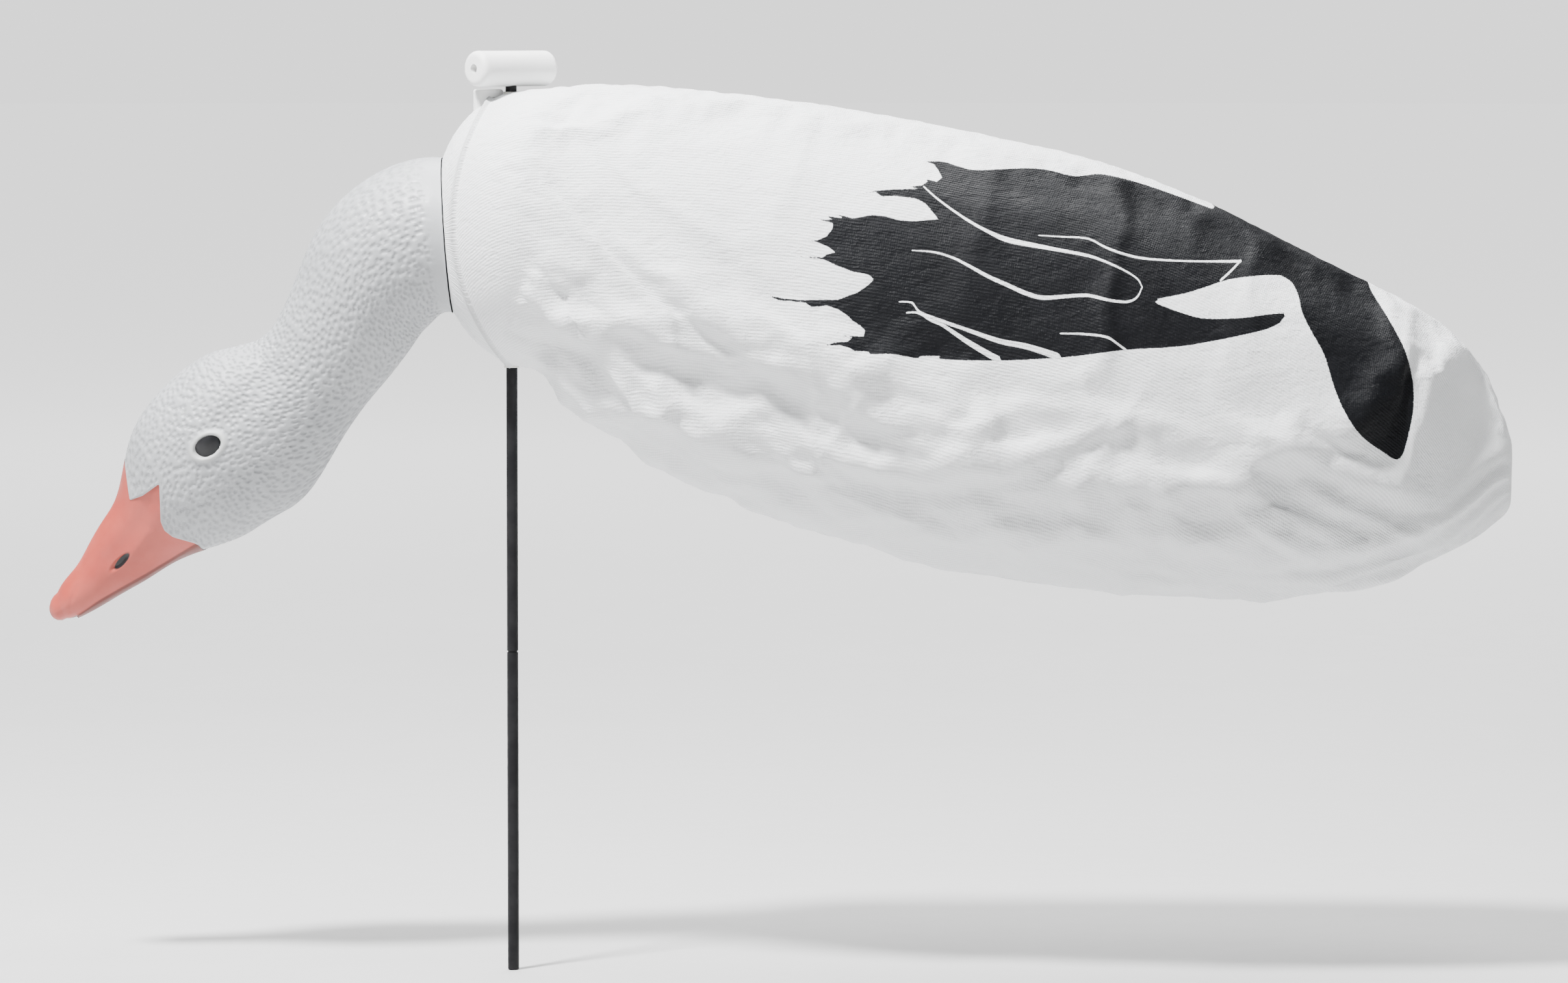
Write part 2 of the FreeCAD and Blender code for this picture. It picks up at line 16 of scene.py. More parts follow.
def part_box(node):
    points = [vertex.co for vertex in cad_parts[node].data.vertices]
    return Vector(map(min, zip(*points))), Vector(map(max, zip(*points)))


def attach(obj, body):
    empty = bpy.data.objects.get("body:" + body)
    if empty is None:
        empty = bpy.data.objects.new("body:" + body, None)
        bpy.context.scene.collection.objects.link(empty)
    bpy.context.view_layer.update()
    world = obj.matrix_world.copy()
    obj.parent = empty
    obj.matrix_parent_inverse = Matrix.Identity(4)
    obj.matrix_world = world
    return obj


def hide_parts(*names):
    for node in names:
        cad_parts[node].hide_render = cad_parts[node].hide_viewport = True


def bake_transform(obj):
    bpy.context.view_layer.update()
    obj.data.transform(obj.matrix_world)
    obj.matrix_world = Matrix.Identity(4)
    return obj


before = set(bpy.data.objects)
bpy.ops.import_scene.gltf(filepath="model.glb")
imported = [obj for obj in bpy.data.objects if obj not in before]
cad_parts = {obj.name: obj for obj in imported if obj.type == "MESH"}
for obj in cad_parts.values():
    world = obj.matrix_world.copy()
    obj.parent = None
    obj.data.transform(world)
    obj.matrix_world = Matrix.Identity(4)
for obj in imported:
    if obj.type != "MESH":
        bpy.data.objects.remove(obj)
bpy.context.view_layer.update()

MM = 0.001
SEED = 7

# ---- the view ----
VIEW_CENTRE = (153.3, 0.0, 271.0)
VIEW_WIDTH = 884.4  # of the plane through the stake
VIEW_DISTANCE = 3800.0
VIEW_RISE = 4.0  # degrees above level
SENSOR = 36.0
SIDE_VIEW_DROP = -2.0  # between heights drawn on the side view and heights on the stake's plane

# ---- the collar's dome, which the fabric lies on ----
DOME_CENTRE = np.array([10.0, 0.0, 418.6])
DOME_TILT = math.radians(4.0)
DOME_LENGTH, DOME_R = 55.0, 77.0
OPENING_S = -45.5  # the neck opening, along the dome's axis
RIDGE_R, RIDGE_S = 76.6, -14.3
DOME_REAR_S = 4.0  # where the bag leaves the dome
HEAD_ROLL = math.radians(10.0)


def smoothstep(x, low, high):
    t = np.clip((x - low) / (high - low), 0.0, 1.0)
    return t * t * (3 - 2 * t)


def on_collar(s, across, up):
    """Points given along the dome's axis, across it and above it, in the row frame."""
    c, n = math.cos(DOME_TILT), math.sin(DOME_TILT)
    return DOME_CENTRE + np.stack([s * c - up * n, across, s * n + up * c], axis=-1)


def dome_radius(s):
    return DOME_R * np.sqrt(1 - np.clip(s / DOME_LENGTH, -1, 0) ** 2)


def collar_ring(s, radius, angle):
    """Points round the dome's axis, at angles from the top."""
    return on_collar(s, -radius * np.sin(angle), radius * np.cos(angle))


def ridge_s(angle):
    """How far along the dome's axis the hem's rear edge lies, at an angle from the top."""
    s = np.full_like(angle, -30.0)
    for _ in range(30):
        across = dome_radius(s) * np.sin(angle)
        s = 0.5 * s + 0.5 * (RIDGE_S - RIDGE_R + np.sqrt(np.maximum(RIDGE_R**2 - across**2, 0)))
    return s


# ---- meshes ----
def make_object(name, points, faces):
    mesh = bpy.data.meshes.new(name)
    mesh.from_pydata((np.asarray(points) * MM).tolist(), [], [list(map(int, f)) for f in faces])
    mesh.validate()
    mesh.shade_smooth()
    obj = bpy.data.objects.new(name, mesh)
    bpy.context.scene.collection.objects.link(obj)
    return obj


def tube_faces(rows, columns):
    """Quads of a grid that closes round its columns, facing outwards for rows that run towards +X."""
    r, c = np.meshgrid(np.arange(rows - 1), np.arange(columns), indexing="ij")
    n = (c + 1) % columns
    quads = [r * columns + c, r * columns + n, (r + 1) * columns + n, (r + 1) * columns + c]
    return np.stack(quads, axis=-1).reshape(-1, 4)


def set_values(obj, name, values):
    attribute = obj.data.attributes.new(name, "FLOAT", "POINT")
    attribute.data.foreach_set("value", np.asarray(values, dtype=np.float32))


def read_floats(source, name, width):
    flat = np.empty(len(source) * width, dtype=np.float32)
    source.foreach_get(name, flat)
    return flat.reshape(-1, width).astype(float)


def get_values(obj, name):
    return read_floats(obj.data.attributes[name].data, "value", 1)[:, 0]


def get_points(obj):
    return read_floats(obj.data.vertices, "co", 3) / MM


def set_points(obj, points):
    obj.data.vertices.foreach_set("co", (points * MM).astype(np.float32).ravel())
    obj.data.update()


def get_normals(obj):
    return read_floats(obj.data.vertex_normals, "vector", 3)


def grid_normals(grid):
    """Outward normals of a grid of points, rows along the piece and columns round it."""
    along = np.gradient(grid, axis=0)
    padded = np.concatenate([grid[:, -1:], grid, grid[:, :1]], axis=1)
    around = (padded[:, 2:] - padded[:, :-2]) / 2
    n = np.cross(around, along)
    return n / np.maximum(np.linalg.norm(n, axis=-1, keepdims=True), 1e-9)


def apply_modifier(obj, modifier):
    with bpy.context.temp_override(object=obj, active_object=obj, selected_objects=[obj]):
        bpy.ops.object.modifier_apply(modifier=modifier.name)


def cell_distance(points, size, seed):
    """Distance to the nearest of one scattered point per cell, in cells.

    It makes round pits, or facets with sharp valleys."""
    places = points / size
    home = np.floor(places)
    width = points.shape[1]
    best = np.full(len(points), 9.0)
    keys = np.array([127.1, 311.7, 74.7])[:width] + seed
    turns = np.array([269.5, 183.3, 246.1])[:width]
    for step in np.ndindex(*(3,) * width):
        cell = home + np.array(step) - 1.0
        mixed = np.sin(cell @ keys)[:, None] * (43758.5453 + turns)
        centre = cell + 0.5 + 0.75 * (mixed - np.floor(mixed) - 0.5)
        best = np.minimum(best, np.linalg.norm(places - centre, axis=1))
    return best


# ---- drawing on the side of the bag ----
def side_view(points):
    """Where points on the bird appear on the stake's plane to an eye at the camera, both sides alike."""
    rise = math.radians(VIEW_RISE)
    x = points[:, 0] - VIEW_CENTRE[0]
    y = -np.abs(points[:, 1])
    z = points[:, 2] - VIEW_CENTRE[2]
    depth = VIEW_DISTANCE + y * math.cos(rise) - z * math.sin(rise)
    up = y * math.sin(rise) + z * math.cos(rise)
    scale = VIEW_DISTANCE / depth
    return np.stack([VIEW_CENTRE[0] + x * scale, VIEW_CENTRE[2] + SIDE_VIEW_DROP + up * scale], axis=-1)


def distance_to_lines(points, line, closed=False):
    """Distance to a chain of points, its sign by side, and the place along it, from 0 to 1."""
    line = np.asarray(line, float)
    ends = np.roll(line, -1, axis=0) if closed else line[1:]
    starts = line if closed else line[:-1]
    best = np.full(len(points), 1e9)
    side = np.ones(len(points))
    place = np.zeros(len(points))
    for i, (a, b) in enumerate(zip(starts, ends)):
        ab = b - a
        t = np.clip(((points - a) @ ab) / (ab @ ab), 0, 1)
        d = points - (a + t[:, None] * ab)
        length = np.hypot(d[:, 0], d[:, 1])
        nearer = length < best
        cross = ab[0] * (points[:, 1] - a[1]) - ab[1] * (points[:, 0] - a[0])
        best = np.where(nearer, length, best)
        side = np.where(nearer, np.sign(cross), side)
        place = np.where(nearer, (i + t) / len(starts), place)
    return best, side, place


def inside(points, outline):
    x, y = points[:, 0], points[:, 1]
    result = np.zeros(len(points), bool)
    for (x0, y0), (x1, y1) in zip(outline, np.roll(np.asarray(outline), -1, axis=0)):
        spans = (y0 > y) != (y1 > y)
        crossing = x0 + (y - y0) * (x1 - x0) / (y1 - y0 if y1 != y0 else 1e-9)
        result ^= spans & (x < crossing)
    return result


def smooth_line(points, steps=6):
    """A Catmull-Rom curve through the points."""
    p = np.asarray(points, float)
    p = np.vstack([2 * p[0] - p[1], p, 2 * p[-1] - p[-2]])
    t = np.linspace(0, 1, steps, endpoint=False)[:, None]
    pieces = []
    for a, b, c, d in zip(p, p[1:], p[2:], p[3:]):
        pieces.append(
            0.5 * (2 * b + (c - a) * t + (2 * a - 5 * b + 4 * c - d) * t**2 + (3 * b - a - 3 * c + d) * t**3)
        )
    return np.vstack(pieces + [p[-2:-1]])


# The black print, as X and Z seen from the side: the back edge, the tail band, the white feather's
# edge, the lower edge, and then the feather tips from the lowest to the highest.
PRINT_BACK = [
    (245, 454.6), (253, 452.0), (262, 450.2), (288, 451.3), (301.6, 450.4), (317.4, 446.8), (332, 448),
    (352, 443.5), (371, 437.2), (395.8, 428),
]
PRINT_TAIL = [
    (398, 450), (470, 410), (484, 383), (494, 366.9), (503, 350), (507.5, 334), (508.5, 320),
    (506.5, 305), (500.6, 287.3), (490.7, 291.7), (479, 300.2), (470, 313), (463.5, 328), (458, 346),
    (450.4, 359.9), (445.5, 370), (443.5, 379), (440, 386.5), (434, 390.8),
]
PRINT_FEATHER = [
    (425, 391), (413, 389.8), (401.7, 387.8), (381, 381), (362.1, 376.8), (370, 372.5), (376.4, 370.2),
    (390, 366.6), (411.6, 366.9), (424, 368.6), (437.6, 370),
]
PRINT_LOWER = [
    (433, 364), (424, 360), (401.7, 355.1), (376.4, 350.7), (346.7, 348.9), (317.4, 345.2), (294, 343.5),
    (270, 342.7), (243, 343.5), (241, 345.2), (231, 345.3), (227.7, 344.0), (215, 346.4), (202.4, 346.4),
    (200.8, 347.8), (193, 348.1),
]
PRINT_TIPS = [
    (190, 350), (184.7, 351.5), (175, 351.2), (182.5, 353.1), (189, 353.5), (191.7, 355.6), (185.2, 356.9),
    (198.1, 356.4), (199, 359.6), (196.5, 362.3), (192.2, 365), (189, 368.2), (183.6, 371.7), (177.2, 373.9),
    (173.4, 373.2), (168.5, 373.2), (165.3, 375.4), (150.3, 376.8), (143.6, 379.8), (152.4, 377.9),
    (163.2, 376.9), (173.9, 377.1), (183.6, 377.1), (190, 379.5), (194.4, 381.1), (200.8, 385.4),
    (204, 388.6), (200.8, 391.3), (192.2, 392.9), (183.6, 396.1), (176, 399.7), (161, 401.7), (175, 401),
    (177.2, 402.6), (182.3, 403.9), (178.2, 406.9), (172.3, 409.4), (165.9, 410.4), (171.8, 410.6),
    (177.2, 412.8), (180.6, 417.1), (180.9, 420.3), (172.9, 422.2), (180.4, 422.3), (177.7, 424.3),
    (186.8, 423), (183.6, 425.2), (192.2, 423), (203, 424.9), (210.5, 424.1), (218, 422), (226.6, 421.4),
    (240.4, 422.5), (236.8, 426.8), (233.1, 431.3), (227.7, 434.1), (216.4, 435.6), (208.3, 435.4),
    (205.1, 437.8), (197.6, 436.9), (205.1, 438.6), (215.9, 439.4), (228.8, 439.7), (224.5, 441),
    (231, 441.6), (234.1, 443.7), (233.6, 445.1), (239.5, 443.7), (242.5, 446), (240.1, 450.4),
    (237.9, 453.5), (233.1, 455), (240, 455.3),
]
# White strokes within the print, each from left to right: X, Z and half width.
PRINT_STROKES = [
    [(232, 441, 0.4), (239.5, 434.3, 0.5), (248.1, 427.9, 0.6), (257.8, 421.4, 0.7), (267.5, 416, 0.9),
     (278.2, 411.2, 1.4), (291, 408.4, 1.3), (304.9, 405.8, 1.0), (324.7, 402, 0.8), (336, 398, 0.6),
     (346.7, 392.9, 0.5), (353, 388.5, 0.4), (355.2, 384.4, 0.3)],
    [(225.5, 405, 0.3), (237.4, 404, 0.5), (248.1, 401, 0.6), (257.8, 396.1, 0.8), (268.5, 390.2, 1.0),
     (279.3, 385.4, 1.1), (289, 381, 1.2), (297.6, 378.4, 1.2), (304.9, 378.4, 1.1), (312, 379, 1.0),
     (324.7, 379.6, 0.9), (336, 377, 0.8), (346.7, 375.9, 0.7), (352.5, 378.6, 0.5), (355.2, 384, 0.3)],
    [(297, 413.4, 0.3), (310, 412.6, 0.4), (324.7, 411.6, 0.5), (335, 406.5, 0.6), (346.7, 402.4, 0.7),
     (360, 400, 0.6), (385, 398.8, 0.5), (411, 398.8, 0.8)],
    [(399.5, 388, 0.6), (405, 393, 0.6), (411, 399.2, 0.5)],
    [(218, 376, 0.3), (225.5, 375.4, 0.5), (229.8, 370.3, 0.5), (242.7, 365, 0.9), (256.7, 360.1, 1.0),
     (275, 353.7, 1.4), (289, 351, 1.6), (304.9, 346.1, 1.8), (309, 344, 1.8)],
    [(222.3, 369.8, 0.4), (228.8, 369.8, 0.6), (236.3, 365.5, 0.8), (242.7, 362.8, 0.9),
     (254.6, 354.8, 1.3), (265.3, 348.3, 1.6), (275, 342.9, 1.8)],
    [(309, 358.1, 0.4), (322, 357.8, 0.6), (335, 356.2, 0.7), (341, 352.5, 0.6), (346.5, 348.5, 0.6)],
]
STROKE_X, STROKE_Z, STROKE_HALF = (210.0, 420.0), (335.0, 450.0), (-1.0, 4.0)
TIPS_BOX = ((141, 341), (246, 458))  # where the feather tips lie, seen from the side


def refine_print_edge(obj):
    """Divides the faces where the print's thin feather tips lie, so that they come out sharp."""
    grid = bmesh.new()
    grid.from_mesh(obj.data)
    view = side_view(np.array([v.co[:] for v in grid.verts]) / MM)
    low, high = np.array(TIPS_BOX[0]), np.array(TIPS_BOX[1])
    there = ((view > low) & (view < high)).all(axis=1)
    edges = [e for e in grid.edges if there[e.verts[0].index] and there[e.verts[1].index]]
    bmesh.ops.subdivide_edges(grid, edges=edges, cuts=2, use_grid_fill=True)
    grid.to_mesh(obj.data)
    grid.free()


def paint_print(obj):
    """Stores how far each point of the bag is inside the black print, and where it is seen from the side."""
    view = side_view(get_points(obj))
    soft = [smooth_line(part, 4) for part in (PRINT_BACK, PRINT_TAIL, PRINT_FEATHER, PRINT_LOWER)]
    outline = np.vstack(soft + [np.asarray(PRINT_TIPS, float)])
    distance, _, _ = distance_to_lines(view, outline, closed=True)
    set_values(obj, "print", np.where(inside(view, outline), distance, -distance))
    set_values(obj, "seen_x", view[:, 0])
    set_values(obj, "seen_z", view[:, 1])


# ---- the bag ----
BAG_COLUMNS, BAG_ROWS = 150, 128
BAG_CAP = 6.0  # how far the simulated cloth may stray from the filled shape
FACET_HEIGHT, FACET_SIZES, FACET_SMALL_SHARE = 7.0, (36.0, 14.0), 0.25
FACET_LEAN = math.radians(12)
CREASES = 520
FAR_SIDE_SHIFT = (23.0, -4.0)  # so that the far side's folds don't mirror the near side's
CLOTH_FRAMES = 18
CLOTH_GAP = 0.9  # between the collar and the middle of the cloth
COLLAR_END_S = 14.0


def bag_sections():
    """The bag's top, bottom and half width at even steps of X, measured on the frame."""
    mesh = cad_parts["bag"].data
    points = np.array([v.co[:] for v in mesh.vertices]) / MM
    edges = np.array([e.vertices[:] for e in mesh.edges])
    a, b = points[edges[:, 0]], points[edges[:, 1]]
    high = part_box("bag")[1][0] / MM
    stations = np.concatenate([np.linspace(46, high - 60, 34), np.linspace(high - 52, high - 0.8, 16)])
    rows = []
    for x in stations:
        hit = (a[:, 0] - x) * (b[:, 0] - x) < 0
        t = ((x - a[hit, 0]) / (b[hit, 0] - a[hit, 0]))[:, None]
        cut = a[hit] + t * (b[hit] - a[hit])
        rows.append((x, cut[:, 2].max(), cut[:, 2].min(), np.abs(cut[:, 1]).max()))
    return np.array(rows)


def bag_grid(rows, columns):
    """The filled bag from the hem's ridge to the tail, as rows of points round it."""
    angle = np.linspace(0, 2 * math.pi, columns, endpoint=False)
    start = ridge_s(angle)
    lines = []
    for t in np.linspace(0, 1, 10):
        s = start + (DOME_REAR_S - start) * t
        lines.append(collar_ring(s, dome_radius(s) + CLOTH_GAP, angle))
    for x, top, bottom, half in bag_sections():
        middle, tall = (top + bottom) / 2, (top - bottom) / 2
        full = 1 + 0.035 * np.sin(2 * angle) ** 2
        ring = [np.full(columns, x), -half * np.sin(angle) * full, middle + tall * np.cos(angle) * full]
        lines.append(np.stack(ring, axis=-1))
    lines = np.array(lines)
    steps = np.linalg.norm(np.diff(lines, axis=0), axis=-1)
    travelled = np.vstack([np.zeros(columns), np.cumsum(steps, axis=0)])
    grid = np.empty((rows, columns, 3))
    for j in range(columns):
        where = np.linspace(0, travelled[-1, j], rows)
        for k in range(3):
            grid[:, j, k] = np.interp(where, travelled[:, j], lines[:, j, k])
    for _ in range(8):
        grid[2:-1] = 0.5 * grid[2:-1] + 0.25 * (grid[1:-2] + grid[3:])
        grid[1:-1] = 0.5 * grid[1:-1] + 0.25 * (np.roll(grid[1:-1], 1, 1) + np.roll(grid[1:-1], -1, 1))
    return grid


# Folds that are there to see, as X and Z from the side: points, height (out of the bag), half width.
FOLDS = [
    ([(-24, 366), (-10, 358), (4, 345), (20, 334), (38, 325), (60, 312), (85, 300)], 4.0, 8),
    ([(-22, 350), (0, 322), (22, 298), (50, 282), (82, 262)], 3.0, 8),
    ([(-2, 352), (18, 346), (36, 331), (54, 322), (74, 312), (92, 318), (112, 306)], 4.5, 9),
    ([(60, 343), (76, 318), (92, 304)], 3.5, 9),
    ([(92, 304), (84, 330), (88, 352), (83, 372)], 2.6, 8),
    ([(96, 322), (118, 312), (146, 318), (160, 300)], 3.0, 9),
    ([(80, 316), (120, 300), (158, 291), (200, 289), (246, 287), (300, 297), (338, 311)], 5.0, 13),
    ([(60, 296), (110, 274), (150, 262)], 2.8, 10),
    ([(246, 287), (262, 306), (292, 318), (330, 316)], 3.2, 10),
    ([(246, 287), (268, 262), (300, 250), (350, 247)], 3.5, 13),
    ([(200, 289), (222, 262), (232, 236)], 3.0, 13),
    ([(270, 305), (266, 330), (254, 345)], 2.2, 9),
    ([(330, 316), (356, 292), (372, 262), (390, 240)], 3.6, 12),
    ([(330, 316), (372, 308), (402, 292), (424, 268), (462, 250)], 3.6, 11),
    ([(398, 312), (430, 300), (466, 282), (500, 270), (540, 264)], 5.0, 13),
    ([(310, 290), (322, 262), (318, 236)], 2.6, 10),
    ([(150, 268), (180, 244), (226, 232)], 2.4, 12),
    ([(340, 258), (392, 244), (444, 232)], 2.6, 12),
    ([(110, 330), (140, 342), (172, 338)], 1.8, 9),
    ([(0, 398), (30, 392), (56, 372), (84, 352), (112, 346)], 2.0, 11),
    ([(500, 270), (512, 300), (520, 330)], 2.4, 14),
]
HOLLOWS = [
    ([(60, 340), (100, 336), (140, 324), (190, 306)], 3.5, 14),
    ([(100, 286), (160, 276), (230, 272), (280, 276)], 5.0, 15),
    ([(340, 300), (380, 290), (420, 282), (470, 262)], 4.0, 13),
    ([(-6, 340), (20, 316), (50, 300)], 2.5, 8),
    ([(270, 292), (300, 306), (322, 304)], 2.4, 9),
    ([(440, 290), (480, 268), (520, 256)], 3.5, 11),
]


def fold_height(view):
    """How far the large folds stand out at each place on the side, in mm."""
    height = np.zeros(len(view))
    for sign, group in ((1, FOLDS), (-1, HOLLOWS)):
        for line, tall, half in group:
            distance, _, place = distance_to_lines(view, smooth_line(line, 4))
            ends = np.clip(4 * np.minimum(place, 1 - place) + 0.25, 0, 1)
            height += sign * 1.35 * tall * ends * np.clip(1 - distance / half, 0, 1) ** 1.15
    return height


def crumpled_share(view):
    """How much of the crumpling shows: little over the back, and all of it along the lower side."""
    belly = 470 - 0.30 * np.maximum(view[..., 0] - 40, 0)
    return 0.16 + 0.84 * (1 - smoothstep(view[..., 1], belly - 118, belly - 45))


def crease_height(view, seed):
    """How far the small creases stand out, each a straight ridge or valley with its own lean."""
    rng = np.random.default_rng(seed)
    height = np.zeros(len(view))
    for _ in range(CREASES):
        centre = np.array([rng.uniform(-30, 560), rng.uniform(215, 480)])
        lean = rng.normal(math.radians(-16), 0.6)
        length, half = rng.uniform(16, 75), rng.uniform(2.5, 9)
        tall = rng.choice([-1, 1]) * rng.uniform(0.14, 0.36) * half * crumpled_share(centre)
        gentle = rng.uniform(1.2, 3.0)
        reach = np.array([math.cos(lean), math.sin(lean)])
        offset = view - centre
        along, away = offset @ reach, offset @ np.array([-reach[1], reach[0]])
        away = np.where(away > 0, away, -away / gentle)
        near = (np.abs(along) < length) & (away < half)
        fade = 1 - (along[near] / length) ** 2
        height[near] += tall * fade * (1 - away[near] / half)
    return height


def edge_fade(points, from_ridge):
    """Keeps the middle of the top and belly, the edge at the collar and the tail's seam calmer."""
    middle = 0.35 + 0.65 * smoothstep(np.abs(points[:, 1]), 0, 22)
    return middle * smoothstep(from_ridge, 7, 26) * (1 - 0.7 * smoothstep(from_ridge, 530, 590))


def crumple(grid, from_ridge):
    """Presses the large folds into a grid of the filled bag."""
    flat = grid.reshape(-1, 3)
    view = side_view(flat)
    far_side = view + np.array(FAR_SIDE_SHIFT)
    height = np.where(flat[:, 1] > 0, fold_height(far_side), fold_height(view))
    height *= edge_fade(flat, from_ridge)
    return grid + grid_normals(grid) * height.reshape(grid.shape[0], grid.shape[1], 1)


def press_creases(bag):
    """Presses the small creases into the finished cloth."""
    points, normals = get_points(bag), get_normals(bag)
    view = side_view(points)
    height = np.where(points[:, 1] > 0, crease_height(view, SEED + 1), crease_height(view, SEED))
    c, n = math.cos(FACET_LEAN), math.sin(FACET_LEAN)
    x, y, z = points.T
    turned = np.stack([(x * c - z * n) * 0.62, y, (x * n + z * c) * 1.2], axis=-1)
    turned += 5.0 * np.sin(turned[:, [1, 2, 0]] / 13.0)
    large, small = [cell_distance(turned, size, i + 1) - 0.45 for i, size in enumerate(FACET_SIZES)]
    height += FACET_HEIGHT * (large + FACET_SMALL_SHARE * small) * crumpled_share(view)
    height *= edge_fade(points, get_values(bag, "along"))
    set_points(bag, keep_off_collar(points + normals * height[:, None]))


def keep_off_collar(points):
    """Moves cloth that would be inside the collar out to just above its surface."""
    c, n = math.cos(DOME_TILT), math.sin(DOME_TILT)
    v = points - DOME_CENTRE
    s, across, up = v[:, 0] * c + v[:, 2] * n, v[:, 1], -v[:, 0] * n + v[:, 2] * c
    radius = np.hypot(across, up)
    floor = (dome_radius(s) + CLOTH_GAP) * (1 - smoothstep(s, COLLAR_END_S, COLLAR_END_S + 12))
    grown = np.maximum(radius, floor) / np.maximum(radius, 1e-6)
    return on_collar(s, across * grown, up * grown)


def simulate_bag(bag, grid):
    """Lets the cut, a little larger than the filled shape, buckle under light pressure and its weight.

    The broad part of the movement is mostly taken away again, so that the filled outline stays.
    """
    rows, columns, _ = grid.shape
    hold = bag.vertex_groups.new(name="hold")
    for i in range(rows):
        for j in range(columns):
            turn = min(j, columns - j) / columns
            weight = 0.03
            if i < 4 or i > rows - 3:
                weight = 1.0
            elif i < 9:
                weight = 0.35
            if turn < 0.035:
                weight = max(weight, 0.5)
            hold.add([i * columns + j], weight, "REPLACE")
    before = get_points(bag)
    modifier = bag.modifiers.new("cloth", "CLOTH")
    cloth = modifier.settings
    cloth.quality = 5
    cloth.mass = 0.08
    cloth.tension_stiffness = cloth.compression_stiffness = 22
    cloth.shear_stiffness = 8
    cloth.bending_stiffness = 0.12
    cloth.vertex_group_mass = "hold"
    cloth.pin_stiffness = 1.2
    cloth.shrink_min = -0.035
    cloth.use_pressure = True
    cloth.uniform_pressure_force = 0.6
    cloth.effector_weights.gravity = 0.3
    modifier.collision_settings.use_collision = False
    scene = bpy.context.scene
    modifier.point_cache.frame_start, modifier.point_cache.frame_end = 1, CLOTH_FRAMES
    for number in range(1, CLOTH_FRAMES + 1):
        scene.frame_set(number)
    apply_modifier(bag, modifier)
    scene.frame_set(1)
    after = get_points(bag)
    move = (after - before).reshape(rows, columns, 3)
    broad = move.copy()
    for _ in range(60):
        broad[1:-1] = 0.5 * broad[1:-1] + 0.25 * (broad[:-2] + broad[2:])
        broad = 0.5 * broad + 0.25 * (np.roll(broad, 1, 1) + np.roll(broad, -1, 1))
    move = (move - 0.85 * broad).reshape(-1, 3)
    far = np.linalg.norm(move, axis=1, keepdims=True)
    move *= np.where(far > 1e-6, BAG_CAP * np.tanh(far / BAG_CAP) / np.maximum(far, 1e-6), 1)
    set_points(bag, before + move)
    bag.vertex_groups.clear()


def thread_places(grid):
    """Where the cut's threads lie: distance along the bag, and round it from the top, the same both ways."""
    columns = grid.shape[1]
    along = np.cumsum(np.linalg.norm(np.diff(grid, axis=0, prepend=grid[:1]), axis=-1), axis=0)
    ring = np.linalg.norm(np.roll(grid, -1, axis=1) - grid, axis=-1)
    round_way = np.concatenate([np.zeros((len(grid), 1)), np.cumsum(ring, axis=1)[:, :-1]], axis=1)
    whole = ring.sum(axis=1, keepdims=True)
    return along.ravel(), np.minimum(round_way, whole - round_way).ravel()


def make_bag():
    """The printed sock from the hem's ridge to the tail's seam."""
    filled = bag_grid(BAG_ROWS, BAG_COLUMNS)
    along, across = thread_places(filled)
    grid = crumple(filled, along)
    lift = 0.3 * np.exp(-((np.linspace(0, 560, BAG_ROWS) / 3.5) ** 2))
    grid = grid + grid_normals(grid) * lift[:, None, None]
    faces = tube_faces(BAG_ROWS, BAG_COLUMNS)
    points = grid.reshape(-1, 3)
    last = (BAG_ROWS - 1) * BAG_COLUMNS
    # the tail's seam joins the two sides
    half = BAG_COLUMNS // 2
    seam = []
    for j in range(half):
        a, b = last + j, last + j + 1
        c, d = last + (BAG_COLUMNS - j - 1) % BAG_COLUMNS, last + (BAG_COLUMNS - j) % BAG_COLUMNS
        ring = [a, b, c, d] if j else [a, b, c]
        if len(set(ring)) > 2:
            seam.append(list(dict.fromkeys(ring)))
    bag = make_object("bag_fabric", points, list(faces) + seam)
    set_values(bag, "along", along)
    set_values(bag, "across", across)
    simulate_bag(bag, grid)
    divide = bag.modifiers.new("divide", "SUBSURF")
    divide.levels = divide.render_levels = 1
    apply_modifier(bag, divide)
    press_creases(bag)
    refine_print_edge(bag)
    paint_print(bag)
    bag.data.shade_smooth()
    return bag


# ---- the hem ----
HEM_COLUMNS, HEM_ROWS = 1000, 30
PLEATS = 170
CORD_HEIGHT, CORD_WIDTH = 3.0, 2.0


